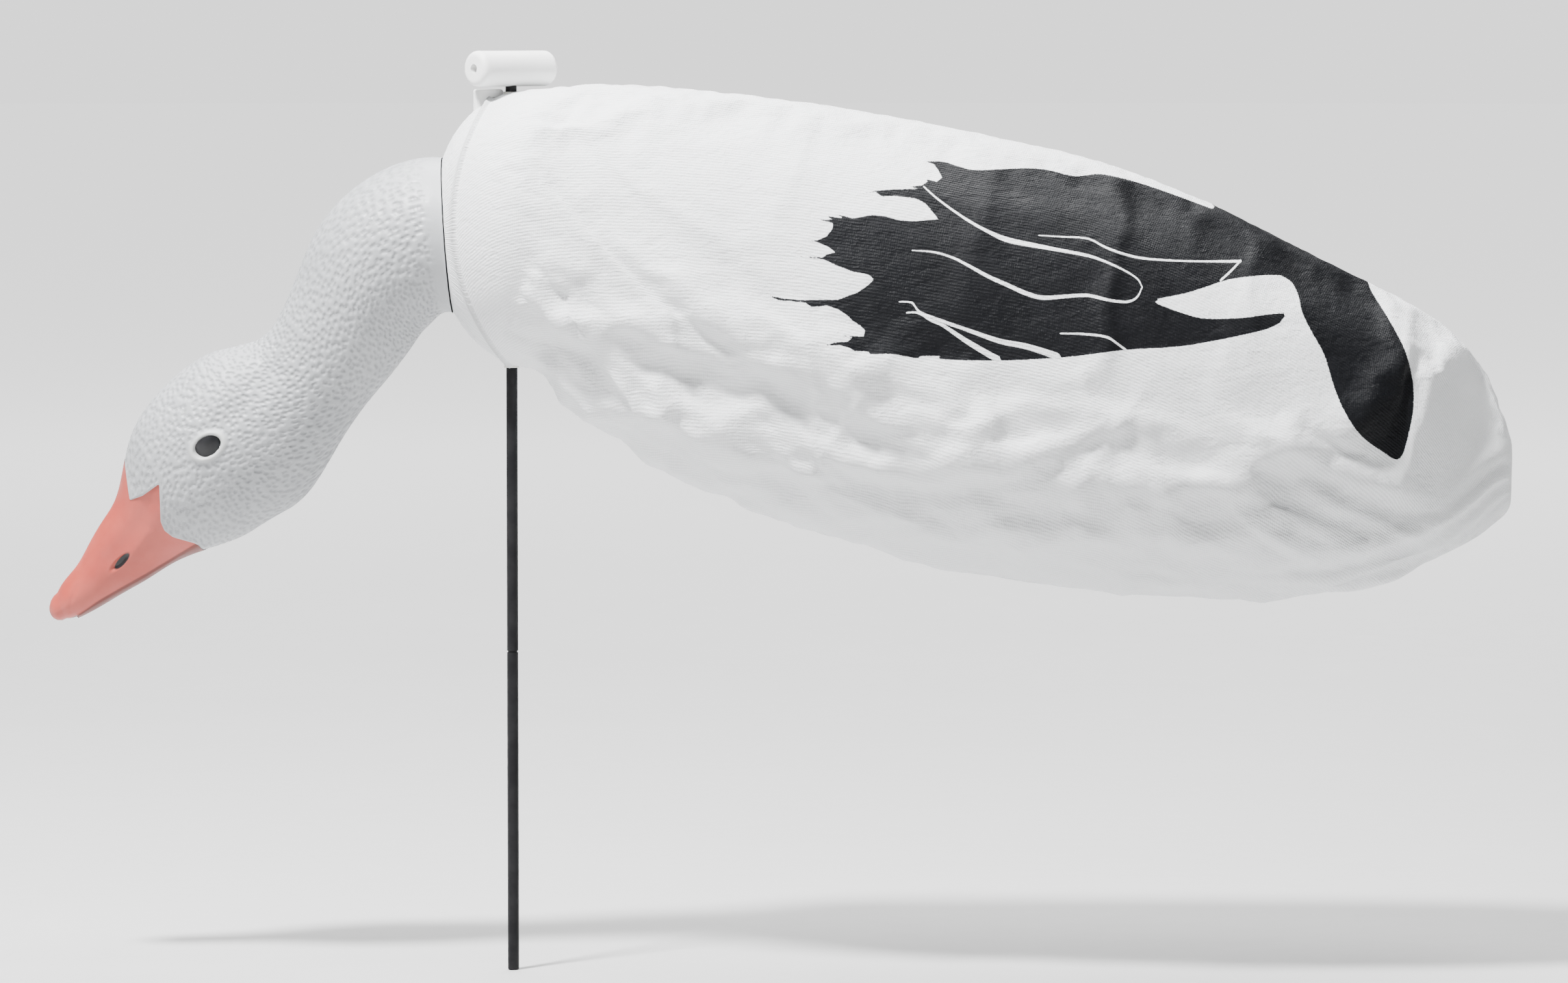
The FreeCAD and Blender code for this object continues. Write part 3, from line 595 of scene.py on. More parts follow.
def make_hem():
    """The pleated band from the neck opening to the ridge, turned in at the neck and over the cord."""
    angle = np.linspace(0, 2 * math.pi, HEM_COLUMNS, endpoint=False)
    end = ridge_s(angle)
    pleat = np.cos(PLEATS * angle) * 0.5 + 0.5
    wander = 0.6 + 0.4 * np.sin(7 * angle + 1.0) * np.sin(3 * angle)
    rows, cords = [], []
    for t in np.linspace(0, 1, HEM_ROWS):
        s = OPENING_S + (end - OPENING_S) * t
        fade = smoothstep(np.full(1, t), 0.05, 0.25)[0] * (1 - 0.6 * smoothstep(np.full(1, t), 0.70, 0.85)[0])
        cord = np.exp(-(((end - s - 2.4) / CORD_WIDTH) ** 2))
        cords.append(cord)
        lift = 0.5 + 0.6 * fade * pleat * wander + CORD_HEIGHT * cord
        rows.append(collar_ring(s, dome_radius(s) + lift, angle))
    lip_s = np.full_like(angle, OPENING_S)
    lip = [collar_ring(lip_s + back, dome_radius(lip_s) + 0.4 - back, angle) for back in (1.2, 0.5)]
    tuck_s = end + 2.2
    rows = lip + rows + [collar_ring(tuck_s, dome_radius(tuck_s) - 0.4, angle)]
    hem = make_object("hem_band_fabric", np.array(rows).reshape(-1, 3), tube_faces(len(rows), HEM_COLUMNS))
    set_values(hem, "across", np.tile(np.minimum(angle, 2 * math.pi - angle) * DOME_R, len(rows)))
    # the cord's place, which the hem's material also uses for painted shade along the ridge
    set_values(hem, "cord", np.concatenate([*[0 * angle] * len(lip), *cords, 0 * angle]))
    return hem


# ---- the head ----
# Middle of each ring as X and Z on the head's own middle plane, and the angle of its top from upright.
HEAD_RINGS = [
    (-36.0, 415.4, 4.0), (-47.5, 414.4, 8.8), (-58.9, 409.0, 17.9), (-72.3, 398.8, 29.9),
    (-82.0, 386.5, 41.6),
    (-90.0, 371.2, 50.5), (-100.2, 353.1, 53.9), (-110.6, 338.6, 52.8), (-121.9, 327.0, 46.0),
    (-134.0, 316.5, 40.9), (-149.0, 303.5, 35.7), (-164.8, 292.3, 35.5), (-179.8, 279.8, 35.6),
    (-191.6, 268.7, 37.2), (-199.7, 257.4, 40.7), (-209.3, 244.8, 40.8), (-219.8, 234.1, 36.4),
    (-229.8, 223.7, 33.7), (-238.1, 214.9, 30.4), (-245.2, 209.0, 26.1), (-251.6, 204.2, 21.5),
    (-254.0, 202.9, 21.0),
]
HEAD_COLUMNS, HEAD_STEP = 260, 0.85
HEAD_CORE = (-206.0, 0.0, 250.0)  # inside the head, where the bill meets it
SHELL_EDGE_DEPTH = 1.6
PIT_ALONG, PIT_ACROSS, PIT_DEPTH = 4.0, 3.4, 0.55
BILL_EDGE = [
    (-228, 300), (-219.5, 278), (-218.1, 270.4), (-216.8, 263.3), (-208.5, 267.4), (-198.8, 274.1),
    (-198.3, 263.8), (-198, 252.3), (-196.3, 246.6), (-192.2, 242.8), (-186.5, 240.9), (-181.2, 238.9),
    (-179.1, 237.3), (-176, 226),
]
BROW_LINE = [(-138, 336), (-152, 318), (-166, 306)]  # a shallow dent above the eye
# Ovals: middle, half axes and turn. The eye is on the head's own middle plane, the nostril as it is seen.
EYE = ((-170.5, 302.3), (7.9, 5.3), 32.0)
NOSTRIL = ((-222.9, 227.4), (6.8, 2.2), 46.5)
JAW_LINE = [
    (-168, 246), (-180, 238.3), (-196.3, 228.0), (-211, 219.1), (-224.2, 211.6), (-237.3, 204.0),
    (-249.5, 195.5),
]


def roll(points, back=False):
    """Turns points about the collar's axis, between the head's own middle plane and where it stands."""
    turn = -HEAD_ROLL if back else HEAD_ROLL
    axis = np.array([math.cos(DOME_TILT), 0, math.sin(DOME_TILT)])
    v = points - DOME_CENTRE
    spun = v * math.cos(turn) + np.cross(axis, v) * math.sin(turn)
    return DOME_CENTRE + spun + np.outer(v @ axis, axis) * (1 - math.cos(turn))


def seen_from_near(own):
    """Where points on the head's own plane are seen from the side, both sides as the near one."""
    near = own * np.array([1.0, 0.0, 1.0]) - np.abs(own) * np.array([0.0, 1.0, 0.0])
    return side_view(roll(near))


def cad_surface(*nodes):
    points, faces = [], []
    for node in nodes:
        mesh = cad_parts[node].data
        start = len(points)
        points += [Vector(v.co) / MM for v in mesh.vertices]
        faces += [[start + i for i in p.vertices] for p in mesh.polygons]
    return BVHTree.FromPolygons(points, faces)


def head_grid():
    """Rows round the head and bill, found by looking in at the CAD surface from outside."""
    tree = cad_surface("head_neck", "bill")
    rings = smooth_line(HEAD_RINGS, 12)
    travelled = np.concatenate([[0], np.cumsum(np.hypot(*np.diff(rings[:, :2], axis=0).T))])
    where = np.arange(0, travelled[-1], HEAD_STEP)
    rings = np.stack([np.interp(where, travelled, rings[:, k]) for k in range(3)], axis=-1)
    angle = np.linspace(0, 2 * math.pi, HEAD_COLUMNS, endpoint=False)
    rows, last = [], np.full(HEAD_COLUMNS, 44.0)
    for x, z, lean in rings:
        up = np.array([-math.sin(math.radians(lean)), 0, math.cos(math.radians(lean))])
        out = np.outer(np.cos(angle), up) + np.outer(np.sin(angle), [0.0, 1.0, 0.0])
        centre = roll(np.array([[x, 0.0, z]]))[0]
        out = roll(DOME_CENTRE + out) - DOME_CENTRE
        radii = np.empty(HEAD_COLUMNS)
        for j, direction in enumerate(out):
            start = Vector(centre + direction * (last[j] + 9.0))
            hit = tree.ray_cast(start, Vector(-direction), last[j] + 9.0)
            radii[j] = (Vector(centre) - hit[0]).length if hit[0] is not None else last[j]
        last = radii
        rows.append(centre + out * radii[:, None])
    return np.array(rows)


def smooth_grid(grid, times):
    for _ in range(times):
        grid[1:-1] = 0.5 * grid[1:-1] + 0.25 * (grid[:-2] + grid[2:])
        grid[:] = 0.5 * grid + 0.25 * (np.roll(grid, 1, 1) + np.roll(grid, -1, 1))
    return grid


def clip_mesh(points, faces, field):
    """The part of a mesh where the field is positive, cut cleanly across its faces."""
    points, faces = list(points), [list(f) for f in faces]
    made, kept = {}, []

    def crossing(a, b):
        key = (min(a, b), max(a, b))
        if key not in made:
            t = field[key[0]] / (field[key[0]] - field[key[1]])
            made[key] = len(points)
            points.append(points[key[0]] * (1 - t) + points[key[1]] * t)
        return made[key]

    for face in faces:
        signs = [field[v] >= 0 for v in face]
        if all(signs):
            kept.append(face)
        elif any(signs):
            ring = []
            for a, b in zip(face, face[1:] + face[:1]):
                if field[a] >= 0:
                    ring.append(a)
                if (field[a] >= 0) != (field[b] >= 0):
                    ring.append(crossing(a, b))
            if len(ring) > 2:
                kept.append(ring)
    used = sorted({v for f in kept for v in f})
    index = {v: i for i, v in enumerate(used)}
    edge = {index[v] for v in made.values() if v in index}
    return np.array([points[v] for v in used]), [[index[v] for v in f] for f in kept], edge


def turned_in(points, faces, edge, inward, depth):
    """Adds a narrow wall behind the cut edge, so that the moulding shows its thickness there."""
    ends, count = [], {}
    for face in faces:
        for a, b in zip(face, face[1:] + face[:1]):
            if a in edge and b in edge:
                count[(min(a, b), max(a, b))] = count.get((min(a, b), max(a, b)), 0) + 1
                ends.append((a, b))
    rim = [(a, b) for a, b in ends if count[(min(a, b), max(a, b))] == 1]
    extra = {v: len(points) + i for i, v in enumerate(sorted({v for pair in rim for v in pair}))}
    inner = np.array([points[v] + inward[v] * depth for v in extra])
    walls = [[b, a, extra[a], extra[b]] for a, b in rim]
    return np.vstack([points, inner]), faces + walls


def oval_reach(view, middle, axes, turn):
    """Distance from an oval's middle as a share of its edge."""
    d = view - np.array(middle)
    c, n = math.cos(math.radians(turn)), math.sin(math.radians(turn))
    return np.hypot((d[:, 0] * c + d[:, 1] * n) / axes[0], (-d[:, 0] * n + d[:, 1] * c) / axes[1])


def eye_reach(own):
    """Distance from an eye's middle as a share of its edge, and far wherever the head isn't wide."""
    return np.where(np.abs(own[:, 1]) > 14, oval_reach(own[:, [0, 2]], *EYE), 9.0)


def make_head():
    """The shell of the head and neck, with pits, a rim and socket at each eye, and the bill with it."""
    base = smooth_grid(head_grid(), 3)
    normals = grid_normals(base)
    rows, columns, _ = base.shape
    flat, out = base.reshape(-1, 3), normals.reshape(-1, 3)
    own = roll(flat, back=True)
    view = seen_from_near(own)
    head_side = bill_field(view)
    reach = eye_reach(own)
    rim = 1.2 * np.exp(-(((reach - 1.24) / 0.2) ** 2)) - 4.5 * (1 - smoothstep(reach, 0.88, 1.04))
    brow, _, _ = distance_to_lines(view, BROW_LINE)
    brow = -1.8 * np.exp(-((brow / 8) ** 2)) * (np.abs(own[:, 1]) > 12)
    _, across = thread_places(base)
    travelled = np.repeat(np.arange(rows) * HEAD_STEP, columns)
    places = np.column_stack([travelled / PIT_ALONG, across / PIT_ACROSS])
    pit = 1 - smoothstep(cell_distance(places, 1.0, 3), 0.08, 0.52)
    pit *= smoothstep(reach, 1.4, 1.8) * smoothstep(head_side, 0.4, 1.6) * smoothstep(travelled, 5, 12)
    field = np.column_stack([flat + out * (rim + brow + 0.45 - PIT_DEPTH * pit)[:, None], pit])
    faces = tube_faces(rows, columns)
    points, kept, edge = clip_mesh(field, faces, head_side)
    core = roll(np.array([HEAD_CORE]))[0]
    inward = {v: np.append(unit(core - points[v][:3]), 0.0) for v in edge}
    points, kept = turned_in(points, kept, edge, inward, SHELL_EDGE_DEPTH)
    head = make_object("head_neck_shell", points[:, :3], kept)
    # the pits, which the head's material also darkens as painted shade
    set_values(head, "pit", points[:, 3])
    set_values(head, "eye_reach", eye_reach(roll(points[:, :3], back=True)))
    return head, make_bill(flat, out, view, np.abs(own[:, 1]) > 3, head_side, rows, columns)


def bill_field(view):
    """Distance from the edge between the feathers and the bill, positive on the feathers."""
    beyond = BILL_EDGE + [(-176, 150), (-330, 150), (-330, 300)]
    distance, _, _ = distance_to_lines(view, BILL_EDGE)
    return np.where(inside(view, beyond), -distance, distance)


def jaw_field(view):
    """Distance below the line between the bill's upper part and its lower edge, which gets painted shade."""
    beyond = JAW_LINE + [(-330, 150), (-150, 150), (-150, 240)]
    distance, _, _ = distance_to_lines(view, JAW_LINE)
    return np.where(inside(view, beyond), distance, -distance)


def unit(v):
    return v / max(float(np.linalg.norm(v)), 1e-9)


BILL_GROWTH, JAW_DROP = 4.5, 1.6
BILL_TIP_X = -247
TIP_CAP_ANGLES = (0.35, 0.7, 1.05, 1.3)
# Grooves in the bill, as X and Z from the side: points, depth and width. A negative depth is a ridge.
BILL_GROOVES = [
    ([(-205, 262), (-212, 250), (-221, 238), (-229, 229)], 0.9, 5.0),
    ([(-207, 244), (-214, 235), (-222, 226)], -0.5, 3.0),
    ([(-246, 214), (-249, 206), (-250, 199)], 0.35, 1.2),
]


def make_bill(flat, out, view, off_middle, head_side, rows, columns):
    """The smooth bill in front of the feathers, with its nostrils, jaw line and closed tip."""
    below = jaw_field(view)
    behind_tip = view[:, 0] > BILL_TIP_X
    shape = -0.35 - 0.4 * smoothstep(below, -0.2, 0.5) * behind_tip
    slit = oval_reach(view, *NOSTRIL)
    shape -= 1.8 * (1 - smoothstep(slit, 0.5, 1.25)) * off_middle
    for line, deep, half in BILL_GROOVES:
        away, _, _ = distance_to_lines(view, smooth_line(line, 4))
        shape -= deep * np.exp(-((away / half) ** 2)) * off_middle
    points = flat + out * shape[:, None]
    points += BILL_GROWTH * smoothstep(-view[:, 0], 205, 252)[:, None] * np.array([-0.9, 0.0, -0.43])
    points[:, 2] -= JAW_DROP * smoothstep(below, -0.2, 1.0) * behind_tip
    # a rounded end
    last, before = points[-columns:], points[-4 * columns : -3 * columns]
    middle = last.mean(axis=0)
    forward = unit(middle - before.mean(axis=0))
    reach = np.linalg.norm(last - middle, axis=1).mean() * 0.95
    cap = [middle + (last - middle) * math.cos(a) + forward * reach * math.sin(a) for a in TIP_CAP_ANGLES]
    points = np.vstack([points, *cap, middle + forward * reach])
    faces = tube_faces(rows + len(cap), columns)
    end = (rows + len(cap) - 1) * columns
    fan = [[end + j, end + (j + 1) % columns, end + columns] for j in range(columns)]
    field = np.append(-head_side + 0.6, np.full(len(cap) * columns + 1, 5.0))
    points, kept, _ = clip_mesh(points, [list(f) for f in faces] + fan, field)
    bill = make_object("bill_shell", points, kept)
    seen = seen_from_near(roll(points, back=True))
    # where the bill's material paints shade under the jaw line
    set_values(bill, "below_jaw", jaw_field(seen))
    # where the bill's material paints the shade inside the nostril slit
    set_values(bill, "nostril", oval_reach(seen, *NOSTRIL))
    return bill


# ---- materials ----
class Nodes:
    """A small helper for writing a node material."""

    def __init__(self, name):
        self.material = bpy.data.materials.new(name)
        self.material.use_nodes = True
        self.tree = self.material.node_tree
        self.shader = self.tree.nodes["Principled BSDF"]

    def new(self, kind):
        return self.tree.nodes.new(kind)

    def link(self, a, b):
        self.tree.links.new(a, b)

    def place(self, scale=(1, 1, 1), turn=(0, 0, 0)):
        spot = self.new("ShaderNodeTexCoord")
        mapping = self.new("ShaderNodeMapping")
        mapping.inputs["Scale"].default_value = scale
        mapping.inputs["Rotation"].default_value = turn
        self.link(spot.outputs["Object"], mapping.inputs["Vector"])
        return mapping.outputs["Vector"]

    def noise(self, scale, detail=4, rough=0.55, where=None):
        node = self.new("ShaderNodeTexNoise")
        node.inputs["Scale"].default_value = scale
        node.inputs["Detail"].default_value = detail
        node.inputs["Roughness"].default_value = rough
        self.link(where or self.place(), node.inputs["Vector"])
        return node.outputs["Fac"]

    def math(self, what, a, b=None):
        node = self.new("ShaderNodeMath")
        node.operation = what
        for socket, value in zip(node.inputs, (a, b)):
            if value is None:
                continue
            if isinstance(value, (int, float)):
                socket.default_value = value
            else:
                self.link(value, socket)
        return node.outputs[0]

    def span(self, value, low, high, to_low=0.0, to_high=1.0, kind="SMOOTHSTEP"):
        node = self.new("ShaderNodeMapRange")
        node.interpolation_type = kind
        self.link(value, node.inputs[0])
        for i, number in enumerate((low, high, to_low, to_high), start=1):
            node.inputs[i].default_value = number
        return node.outputs[0]

    def linear(self, value, low, high, to_low, to_high):
        return self.span(value, low, high, to_low, to_high, kind="LINEAR")

    def curve(self, value, x, y, x_span, y_span):
        """A curve through points, with both axes brought to the range from 0 to 1."""
        node = self.new("ShaderNodeFloatCurve")
        line = node.mapping.curves[0]
        x = (np.asarray(x) - x_span[0]) / (x_span[1] - x_span[0])
        y = (np.asarray(y) - y_span[0]) / (y_span[1] - y_span[0])
        line.points[0].location = (0.0, float(y[0]))
        line.points[1].location = (1.0, float(y[-1]))
        for a, b in zip(x, y):
            line.points.new(float(np.clip(a, 0.001, 0.999)), float(np.clip(b, 0, 1)))
        for point in line.points:
            point.handle_type = "VECTOR"
        node.mapping.update()
        self.link(value, node.inputs["Value"])
        return node.outputs[0]

    def mix(self, factor, a, b):
        node = self.new("ShaderNodeMix")
        node.data_type = "RGBA"
        self.link(factor, node.inputs[0])
        for socket, value in ((node.inputs[6], a), (node.inputs[7], b)):
            if isinstance(value, tuple):
                socket.default_value = (*value, 1.0)
            else:
                self.link(value, socket)
        return node.outputs[2]

    def attribute(self, name):
        node = self.new("ShaderNodeAttribute")
        node.attribute_name = name
        return node.outputs["Fac"]

    def bump(self, height, distance, strength=1.0, before=None):
        node = self.new("ShaderNodeBump")
        node.inputs["Distance"].default_value = distance
        node.inputs["Strength"].default_value = strength
        self.link(height, node.inputs["Height"])
        if before is not None:
            self.link(before, node.inputs["Normal"])
        return node.outputs["Normal"]

    def finish(self, colour, roughness, normal=None, **constants):
        self.link(colour, self.shader.inputs["Base Color"])
        self.link(roughness, self.shader.inputs["Roughness"])
        if normal is not None:
            self.link(normal, self.shader.inputs["Normal"])
        for key, value in constants.items():
            self.shader.inputs[key.replace("_", " ")].default_value = value
        return self.material


RIB_PITCH, CROSS_PITCH = 1.8, 1.15


def weave(n):
    """The sheet's fine ribs, which run with the body, crossed by finer ones, as a height from 0 to 1."""
    drift = n.math("MULTIPLY", n.noise(45, 3), 5.0)
    ribs, cross = [
        n.math("SINE", n.math("ADD", n.math("MULTIPLY", n.attribute(way), 2 * math.pi / pitch), drift))
        for way, pitch in (("across", RIB_PITCH), ("along", CROSS_PITCH))
    ]
    both = n.math("ADD", n.math("MULTIPLY", ribs, 0.22), n.math("MULTIPLY", cross, 0.09))
    return n.math("ADD", n.math("ADD", both, 0.15), n.math("MULTIPLY", n.noise(1100, 3), 0.7))


def strokes(n, ragged):
    """The white strokes of the print, from curves of their height and width against X."""
    x = n.linear(n.attribute("seen_x"), *STROKE_X, 0.0, 1.0)
    z = n.attribute("seen_z")
    covered = None
    for stroke in PRINT_STROKES:
        line = smooth_line(stroke, 3)
        line = line[np.argsort(line[:, 0])]
        line = line[np.concatenate([[True], np.diff(line[:, 0]) > 0.2])]
        slope = np.gradient(line[:, 1], line[:, 0])
        half = line[:, 2] * np.sqrt(1 + slope**2)
        height = n.linear(n.curve(x, line[:, 0], line[:, 1], STROKE_X, STROKE_Z), 0.0, 1.0, *STROKE_Z)
        ends_x = np.concatenate([[line[0, 0] - 1.0], line[:, 0], [line[-1, 0] + 1.0]])
        ends_half = np.concatenate([[-1.0], half, [-1.0]])
        width = n.linear(n.curve(x, ends_x, ends_half, STROKE_X, STROKE_HALF), 0.0, 1.0, *STROKE_HALF)
        depth = n.math("SUBTRACT", width, n.math("ABSOLUTE", n.math("SUBTRACT", z, height)))
        covered = depth if covered is None else n.math("MAXIMUM", covered, depth)
    return n.span(n.math("ADD", covered, n.math("MULTIPLY", ragged, 0.5)), -0.2, 0.2)


def fabric_material(name, printed):
    n = Nodes(name)
    cloth = weave(n)
    white = n.mix(n.noise(9, 5), (0.80, 0.81, 0.82), (0.87, 0.878, 0.885))
    white = n.mix(n.span(cloth, 0.2, 0.9), (0.70, 0.71, 0.72), white)
    colour, rough = white, n.span(n.noise(60, 4), 0.3, 0.7, 0.46, 0.62)
    if not printed:
        # painted shade: the hem turns grey along the cord's ridge, standing in for the shade where the cloth
        # dips behind it
        colour = n.mix(n.math("MULTIPLY", n.attribute("cord"), 0.75), white, (0.46, 0.465, 0.47))
    else:
        ragged = n.math("MULTIPLY", n.math("SUBTRACT", n.noise(1500, 2), 0.5), 1.2)
        ink = n.span(n.math("ADD", n.attribute("print"), ragged), -0.2, 0.2)
        bare = n.math("MULTIPLY", strokes(n, ragged), n.span(cloth, 0.15, 0.4, 0.7, 1.0))
        ink = n.math("MULTIPLY", ink, n.math("SUBTRACT", 1.0, bare))
        black = n.mix(n.noise(35, 5), (0.003, 0.0033, 0.004), (0.008, 0.0085, 0.010))
        black = n.mix(n.span(cloth, 0.75, 1.0), black, (0.018, 0.018, 0.021))
        colour = n.mix(ink, white, black)
        rough = n.math("SUBTRACT", rough, n.math("MULTIPLY", ink, 0.06))
    leaning = n.place(scale=(0.62, 1, 1.25), turn=(0, 0.2, 0))
    wrinkle = n.noise(120, 6, 0.6, leaning)
    swing = n.math("SUBTRACT", n.math("MULTIPLY", wrinkle, 2), 1)
    ridged = n.math("SUBTRACT", 1.0, n.math("ABSOLUTE", swing))
    normal = n.bump(ridged, 0.0018, 0.55)
    normal = n.bump(cloth, 0.00035, 0.8, normal)
    return n.finish(colour, rough, normal, Specular_IOR_Level=0.09)


def moulded_material(name, low, high, rough=(0.42, 0.55)):
    n = Nodes(name)
    colour = n.mix(n.span(n.noise(28, 4), 0.35, 0.65), low, high)
    grain = n.bump(n.noise(700, 4), 0.00008, 0.7)
    return n.finish(colour, n.span(n.noise(90, 5), 0.3, 0.7, *rough), grain)


def head_material():
    """Pale grey with the moulded feather pits, painted darker as shade, which stop at the smooth rim round
    the eye.
    """
    n = Nodes("head_grey")
    blotch = n.span(n.noise(18, 5), 0.3, 0.7)
    colour = n.mix(blotch, (0.33, 0.34, 0.352), (0.39, 0.40, 0.412))
    near_eye = n.span(n.attribute("eye_reach"), 1.3, 1.6, 1.0, 0.0)
    colour = n.mix(near_eye, colour, (0.47, 0.48, 0.475))
    pits = n.attribute("pit")
    # painted shade: the colour goes darker in the pits, where shade falls in the dents
    colour = n.mix(n.math("MULTIPLY", pits, 0.25), colour, (0.20, 0.205, 0.21))
    normal = n.bump(n.math("SUBTRACT", 1.0, pits), 0.0006, 0.7)
    normal = n.bump(n.noise(520, 4), 0.00012, 0.8, normal)
    return n.finish(colour, n.span(n.noise(120, 4), 0.3, 0.7, 0.40, 0.56), normal)


def bill_material():
    n = Nodes("bill_salmon")
    colour = n.mix(n.span(n.noise(30, 5), 0.3, 0.7), (0.36, 0.050, 0.034), (0.43, 0.075, 0.054))
    # painted shade: the bill's underside below the jaw line is painted dark, as if in shadow
    painted_jaw_shade = n.span(n.attribute("below_jaw"), -0.4, 0.5)
    colour = n.mix(painted_jaw_shade, colour, (0.13, 0.02, 0.012))
    # painted shade: the nostril slit is painted near black, standing in for the shade inside it
    painted_nostril_shade = n.span(n.attribute("nostril"), 0.85, 1.1, 1.0, 0.0)
    colour = n.mix(painted_nostril_shade, colour, (0.006, 0.007, 0.008))
    normal = n.bump(n.noise(900, 3), 0.00007, 0.7)
    return n.finish(colour, n.span(n.noise(70, 4), 0.3, 0.7, 0.40, 0.52), normal)


def metal_material(name, colour, rough, stretch=(1, 1, 0.05)):
    n = Nodes(name)
    streak = n.noise(420, 5, 0.6, n.place(scale=stretch))
    tone = n.mix(streak, tuple(c * 0.8 for c in colour), colour)
    return n.finish(tone, n.span(streak, 0.3, 0.7, *rough), n.bump(streak, 0.00005, 0.5), Metallic=1.0)


def coated_material(name, low, high, rough, shine=0.5):
    n = Nodes(name)
    colour = n.mix(n.span(n.noise(60, 5), 0.35, 0.65), low, high)
    skin = n.bump(n.noise(1400, 3), 0.00006, 0.7)
    return n.finish(colour, n.span(n.noise(160, 4), 0.3, 0.7, *rough), skin, Specular_IOR_Level=shine)


def dress_cad():
    """Gives every CAD piece that stays in sight, or inside, its own procedural material."""
    white = ((0.80, 0.80, 0.79), (0.86, 0.86, 0.855))
    natural = ((0.66, 0.65, 0.60), (0.74, 0.73, 0.69))
    black = ((0.016, 0.016, 0.017), (0.032, 0.032, 0.034))
    stake_black = ((0.004, 0.004, 0.005), (0.01, 0.01, 0.011))
    eye_black = ((0.008, 0.008, 0.009), (0.015, 0.015, 0.017))
    finishes = {
        "stake_rod": coated_material("stake_black", *stake_black, (0.42, 0.58), 0.18),
        "push_handle": moulded_material("handle_white", *white),
        "stop_ring": moulded_material("stop_rubber", *black, rough=(0.6, 0.75)),
        "thrust_washer": moulded_material("washer_nylon", *natural),
        "collar": moulded_material("collar_white", *white),
        "top_bush": moulded_material("bush_acetal", *natural),
        "top_post": moulded_material("post_white", *white),
        "post_screw": metal_material("screw_steel", (0.62, 0.62, 0.60), (0.28, 0.42)),
        "hub_bracket": moulded_material("frame_black", *black),
        "hinge_pin": metal_material("pin_steel", (0.60, 0.60, 0.60), (0.22, 0.36), (1, 0.05, 1)),
        "eye_left": coated_material("eye_black", *eye_black, (0.3, 0.4), 0.35),
        "neck_retainer": moulded_material("retainer_white", *natural),
        "backbone": coated_material("backbone_grey", (0.40, 0.39, 0.33), (0.52, 0.51, 0.44), (0.35, 0.5)),
        "backbone_tip": moulded_material("tip_rubber", *black, rough=(0.6, 0.75)),
        "spreader_loop": metal_material("loop_steel", (0.50, 0.50, 0.50), (0.25, 0.4), (0.1, 1, 1)),
    }
    alike = (("bottom_bush", "top_bush"), ("bracket_screws", "post_screw"), ("frame_hub", "hub_bracket"),
             ("eye_right", "eye_left"))
    for node, like in alike:
        finishes[node] = finishes[like]
    for node, material in finishes.items():
        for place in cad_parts[node].material_slots:
            place.material = material


# ---- the room ----
FLOOR_RADIUS, FLOOR_SIDES, FLOOR_Z = 40000.0, 96, -0.5
FLOOR_GLOW_REACH, FLOOR_GLOW = (1.2, 5.0), 1.6  # metres from the stake, and how bright past them
HORIZON_BAND = (0.08, 0.12)  # sines of the heights above the horizon where the bright band ends
HORIZON_LIGHT, SKY_LIGHT = 1.6, 0.05


def make_floor():
    """A pale floor, round and wide, so that no camera has a wall before it.

    Its far part gives a light of its own, which takes over where the lamps no longer reach.
    """
    around = np.arange(FLOOR_SIDES) * 2 * math.pi / FLOOR_SIDES
    points = [(0.0, 0.0, FLOOR_Z)]
    points += [(FLOOR_RADIUS * math.cos(a), FLOOR_RADIUS * math.sin(a), FLOOR_Z) for a in around]
    faces = [[0, i + 1, (i + 1) % FLOOR_SIDES + 1] for i in range(FLOOR_SIDES)]
    floor = make_object("floor", points, faces)
    n = Nodes("floor_pale")
    colour = n.mix(n.noise(3, 4), (0.52, 0.52, 0.52), (0.56, 0.56, 0.56))
    length = n.new("ShaderNodeVectorMath")
    length.operation = "LENGTH"
    n.link(n.place(), length.inputs[0])
    far = n.span(length.outputs["Value"], *FLOOR_GLOW_REACH, 0.0, FLOOR_GLOW)
    n.shader.inputs["Emission Color"].default_value = (1.0, 1.0, 1.0, 1.0)
    n.link(far, n.shader.inputs["Emission Strength"])
    floor.data.materials.append(n.finish(colour, n.span(n.noise(40, 3), 0.3, 0.7, 0.7, 0.85)))


def make_light(name, place, aim, size, power):
    data = bpy.data.lights.new(name, "AREA")
    data.shape, data.size, data.energy = "DISK", size, power
    light = bpy.data.objects.new(name, data)
    light.location = Vector(place)
    light.rotation_euler = (Vector(aim) - Vector(place)).to_track_quat("-Z", "Y").to_euler()
    bpy.context.scene.collection.objects.link(light)


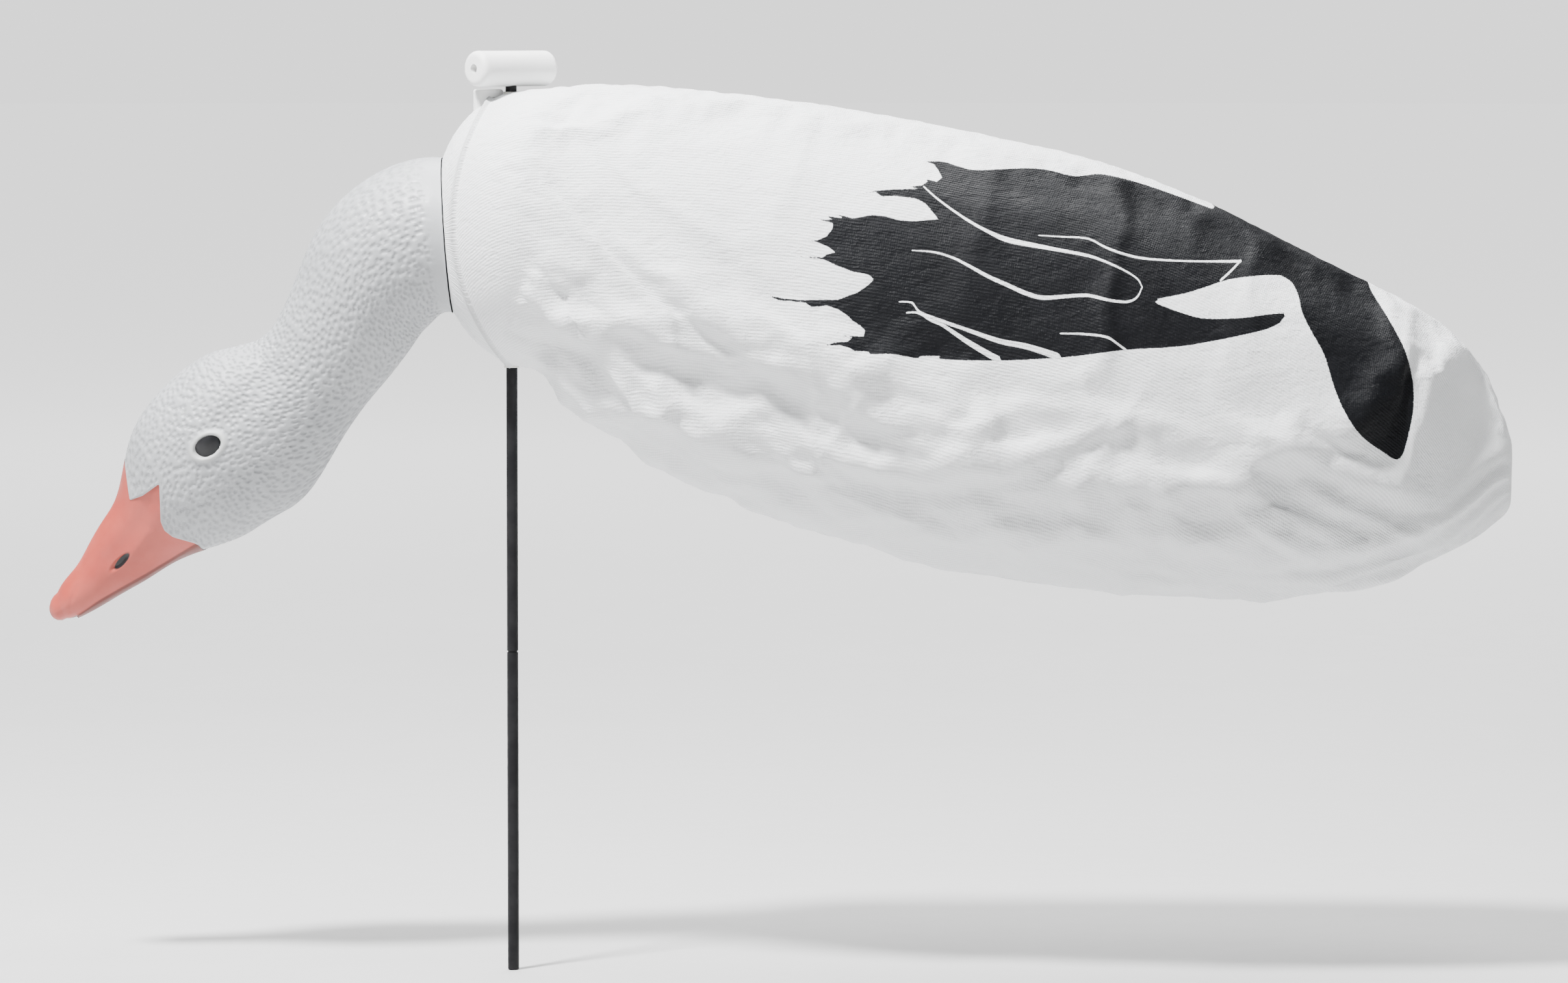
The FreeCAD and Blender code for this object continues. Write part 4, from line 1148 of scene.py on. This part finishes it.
def light_room():
    """Soft lamps, in a world that is dim above and as bright as the floor along the horizon."""
    world = bpy.data.worlds.new("studio")
    world.use_nodes = True
    nodes, links = world.node_tree.nodes, world.node_tree.links
    kinds = ("ShaderNodeTexCoord", "ShaderNodeSeparateXYZ", "ShaderNodeMapRange")
    spot, split, rise = [nodes.new(kind) for kind in kinds]
    links.new(spot.outputs["Generated"], split.inputs["Vector"])
    links.new(split.outputs["Z"], rise.inputs["Value"])
    for socket, value in zip(rise.inputs[1:5], (*HORIZON_BAND, HORIZON_LIGHT, SKY_LIGHT)):
        socket.default_value = value
    nodes["Background"].inputs["Color"].default_value = (1.0, 1.0, 1.0, 1.0)
    links.new(rise.outputs["Result"], nodes["Background"].inputs["Strength"])
    bpy.context.scene.world = world
    make_light("key", (-0.70, -0.80, 2.1), (0.15, 0.0, 0.38), 0.3, 200)
    make_light("top", (0.5, -0.2, 2.3), (0.2, 0.0, 0.35), 1.0, 34)
    make_light("back", (0.2, 1.7, 2.9), (0.2, 2.3, 0.5), 2.6, 250)


def make_camera():
    data = bpy.data.cameras.new("camera")
    data.sensor_width = SENSOR
    data.lens = SENSOR * VIEW_DISTANCE / VIEW_WIDTH
    camera = bpy.data.objects.new("camera", data)
    rise = math.radians(VIEW_RISE)
    centre = Vector(VIEW_CENTRE) * MM
    camera.location = centre + Vector((0, -math.cos(rise), math.sin(rise))) * VIEW_DISTANCE * MM
    camera.rotation_euler = (math.pi / 2 - rise, 0, 0)
    bpy.context.scene.collection.objects.link(camera)
    bpy.context.scene.camera = camera


make_camera()
make_floor()
light_room()

bag = make_bag()
bag.data.materials.append(fabric_material("bag_fabric", printed=True))
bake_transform(bag)
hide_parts("bag", "bag_mouth")

hem = make_hem()
hem.data.materials.append(fabric_material("hem_fabric", printed=False))
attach(hem, "decoy")
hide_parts("hem_band", "hem_cord")

head, bill = make_head()
head.data.materials.append(head_material())
bill.data.materials.append(bill_material())
for piece, node, slot in ((head, "head_neck", "head_grey"), (bill, "bill", "bill_salmon")):
    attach(piece, "head")
    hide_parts(node)

dress_cad()
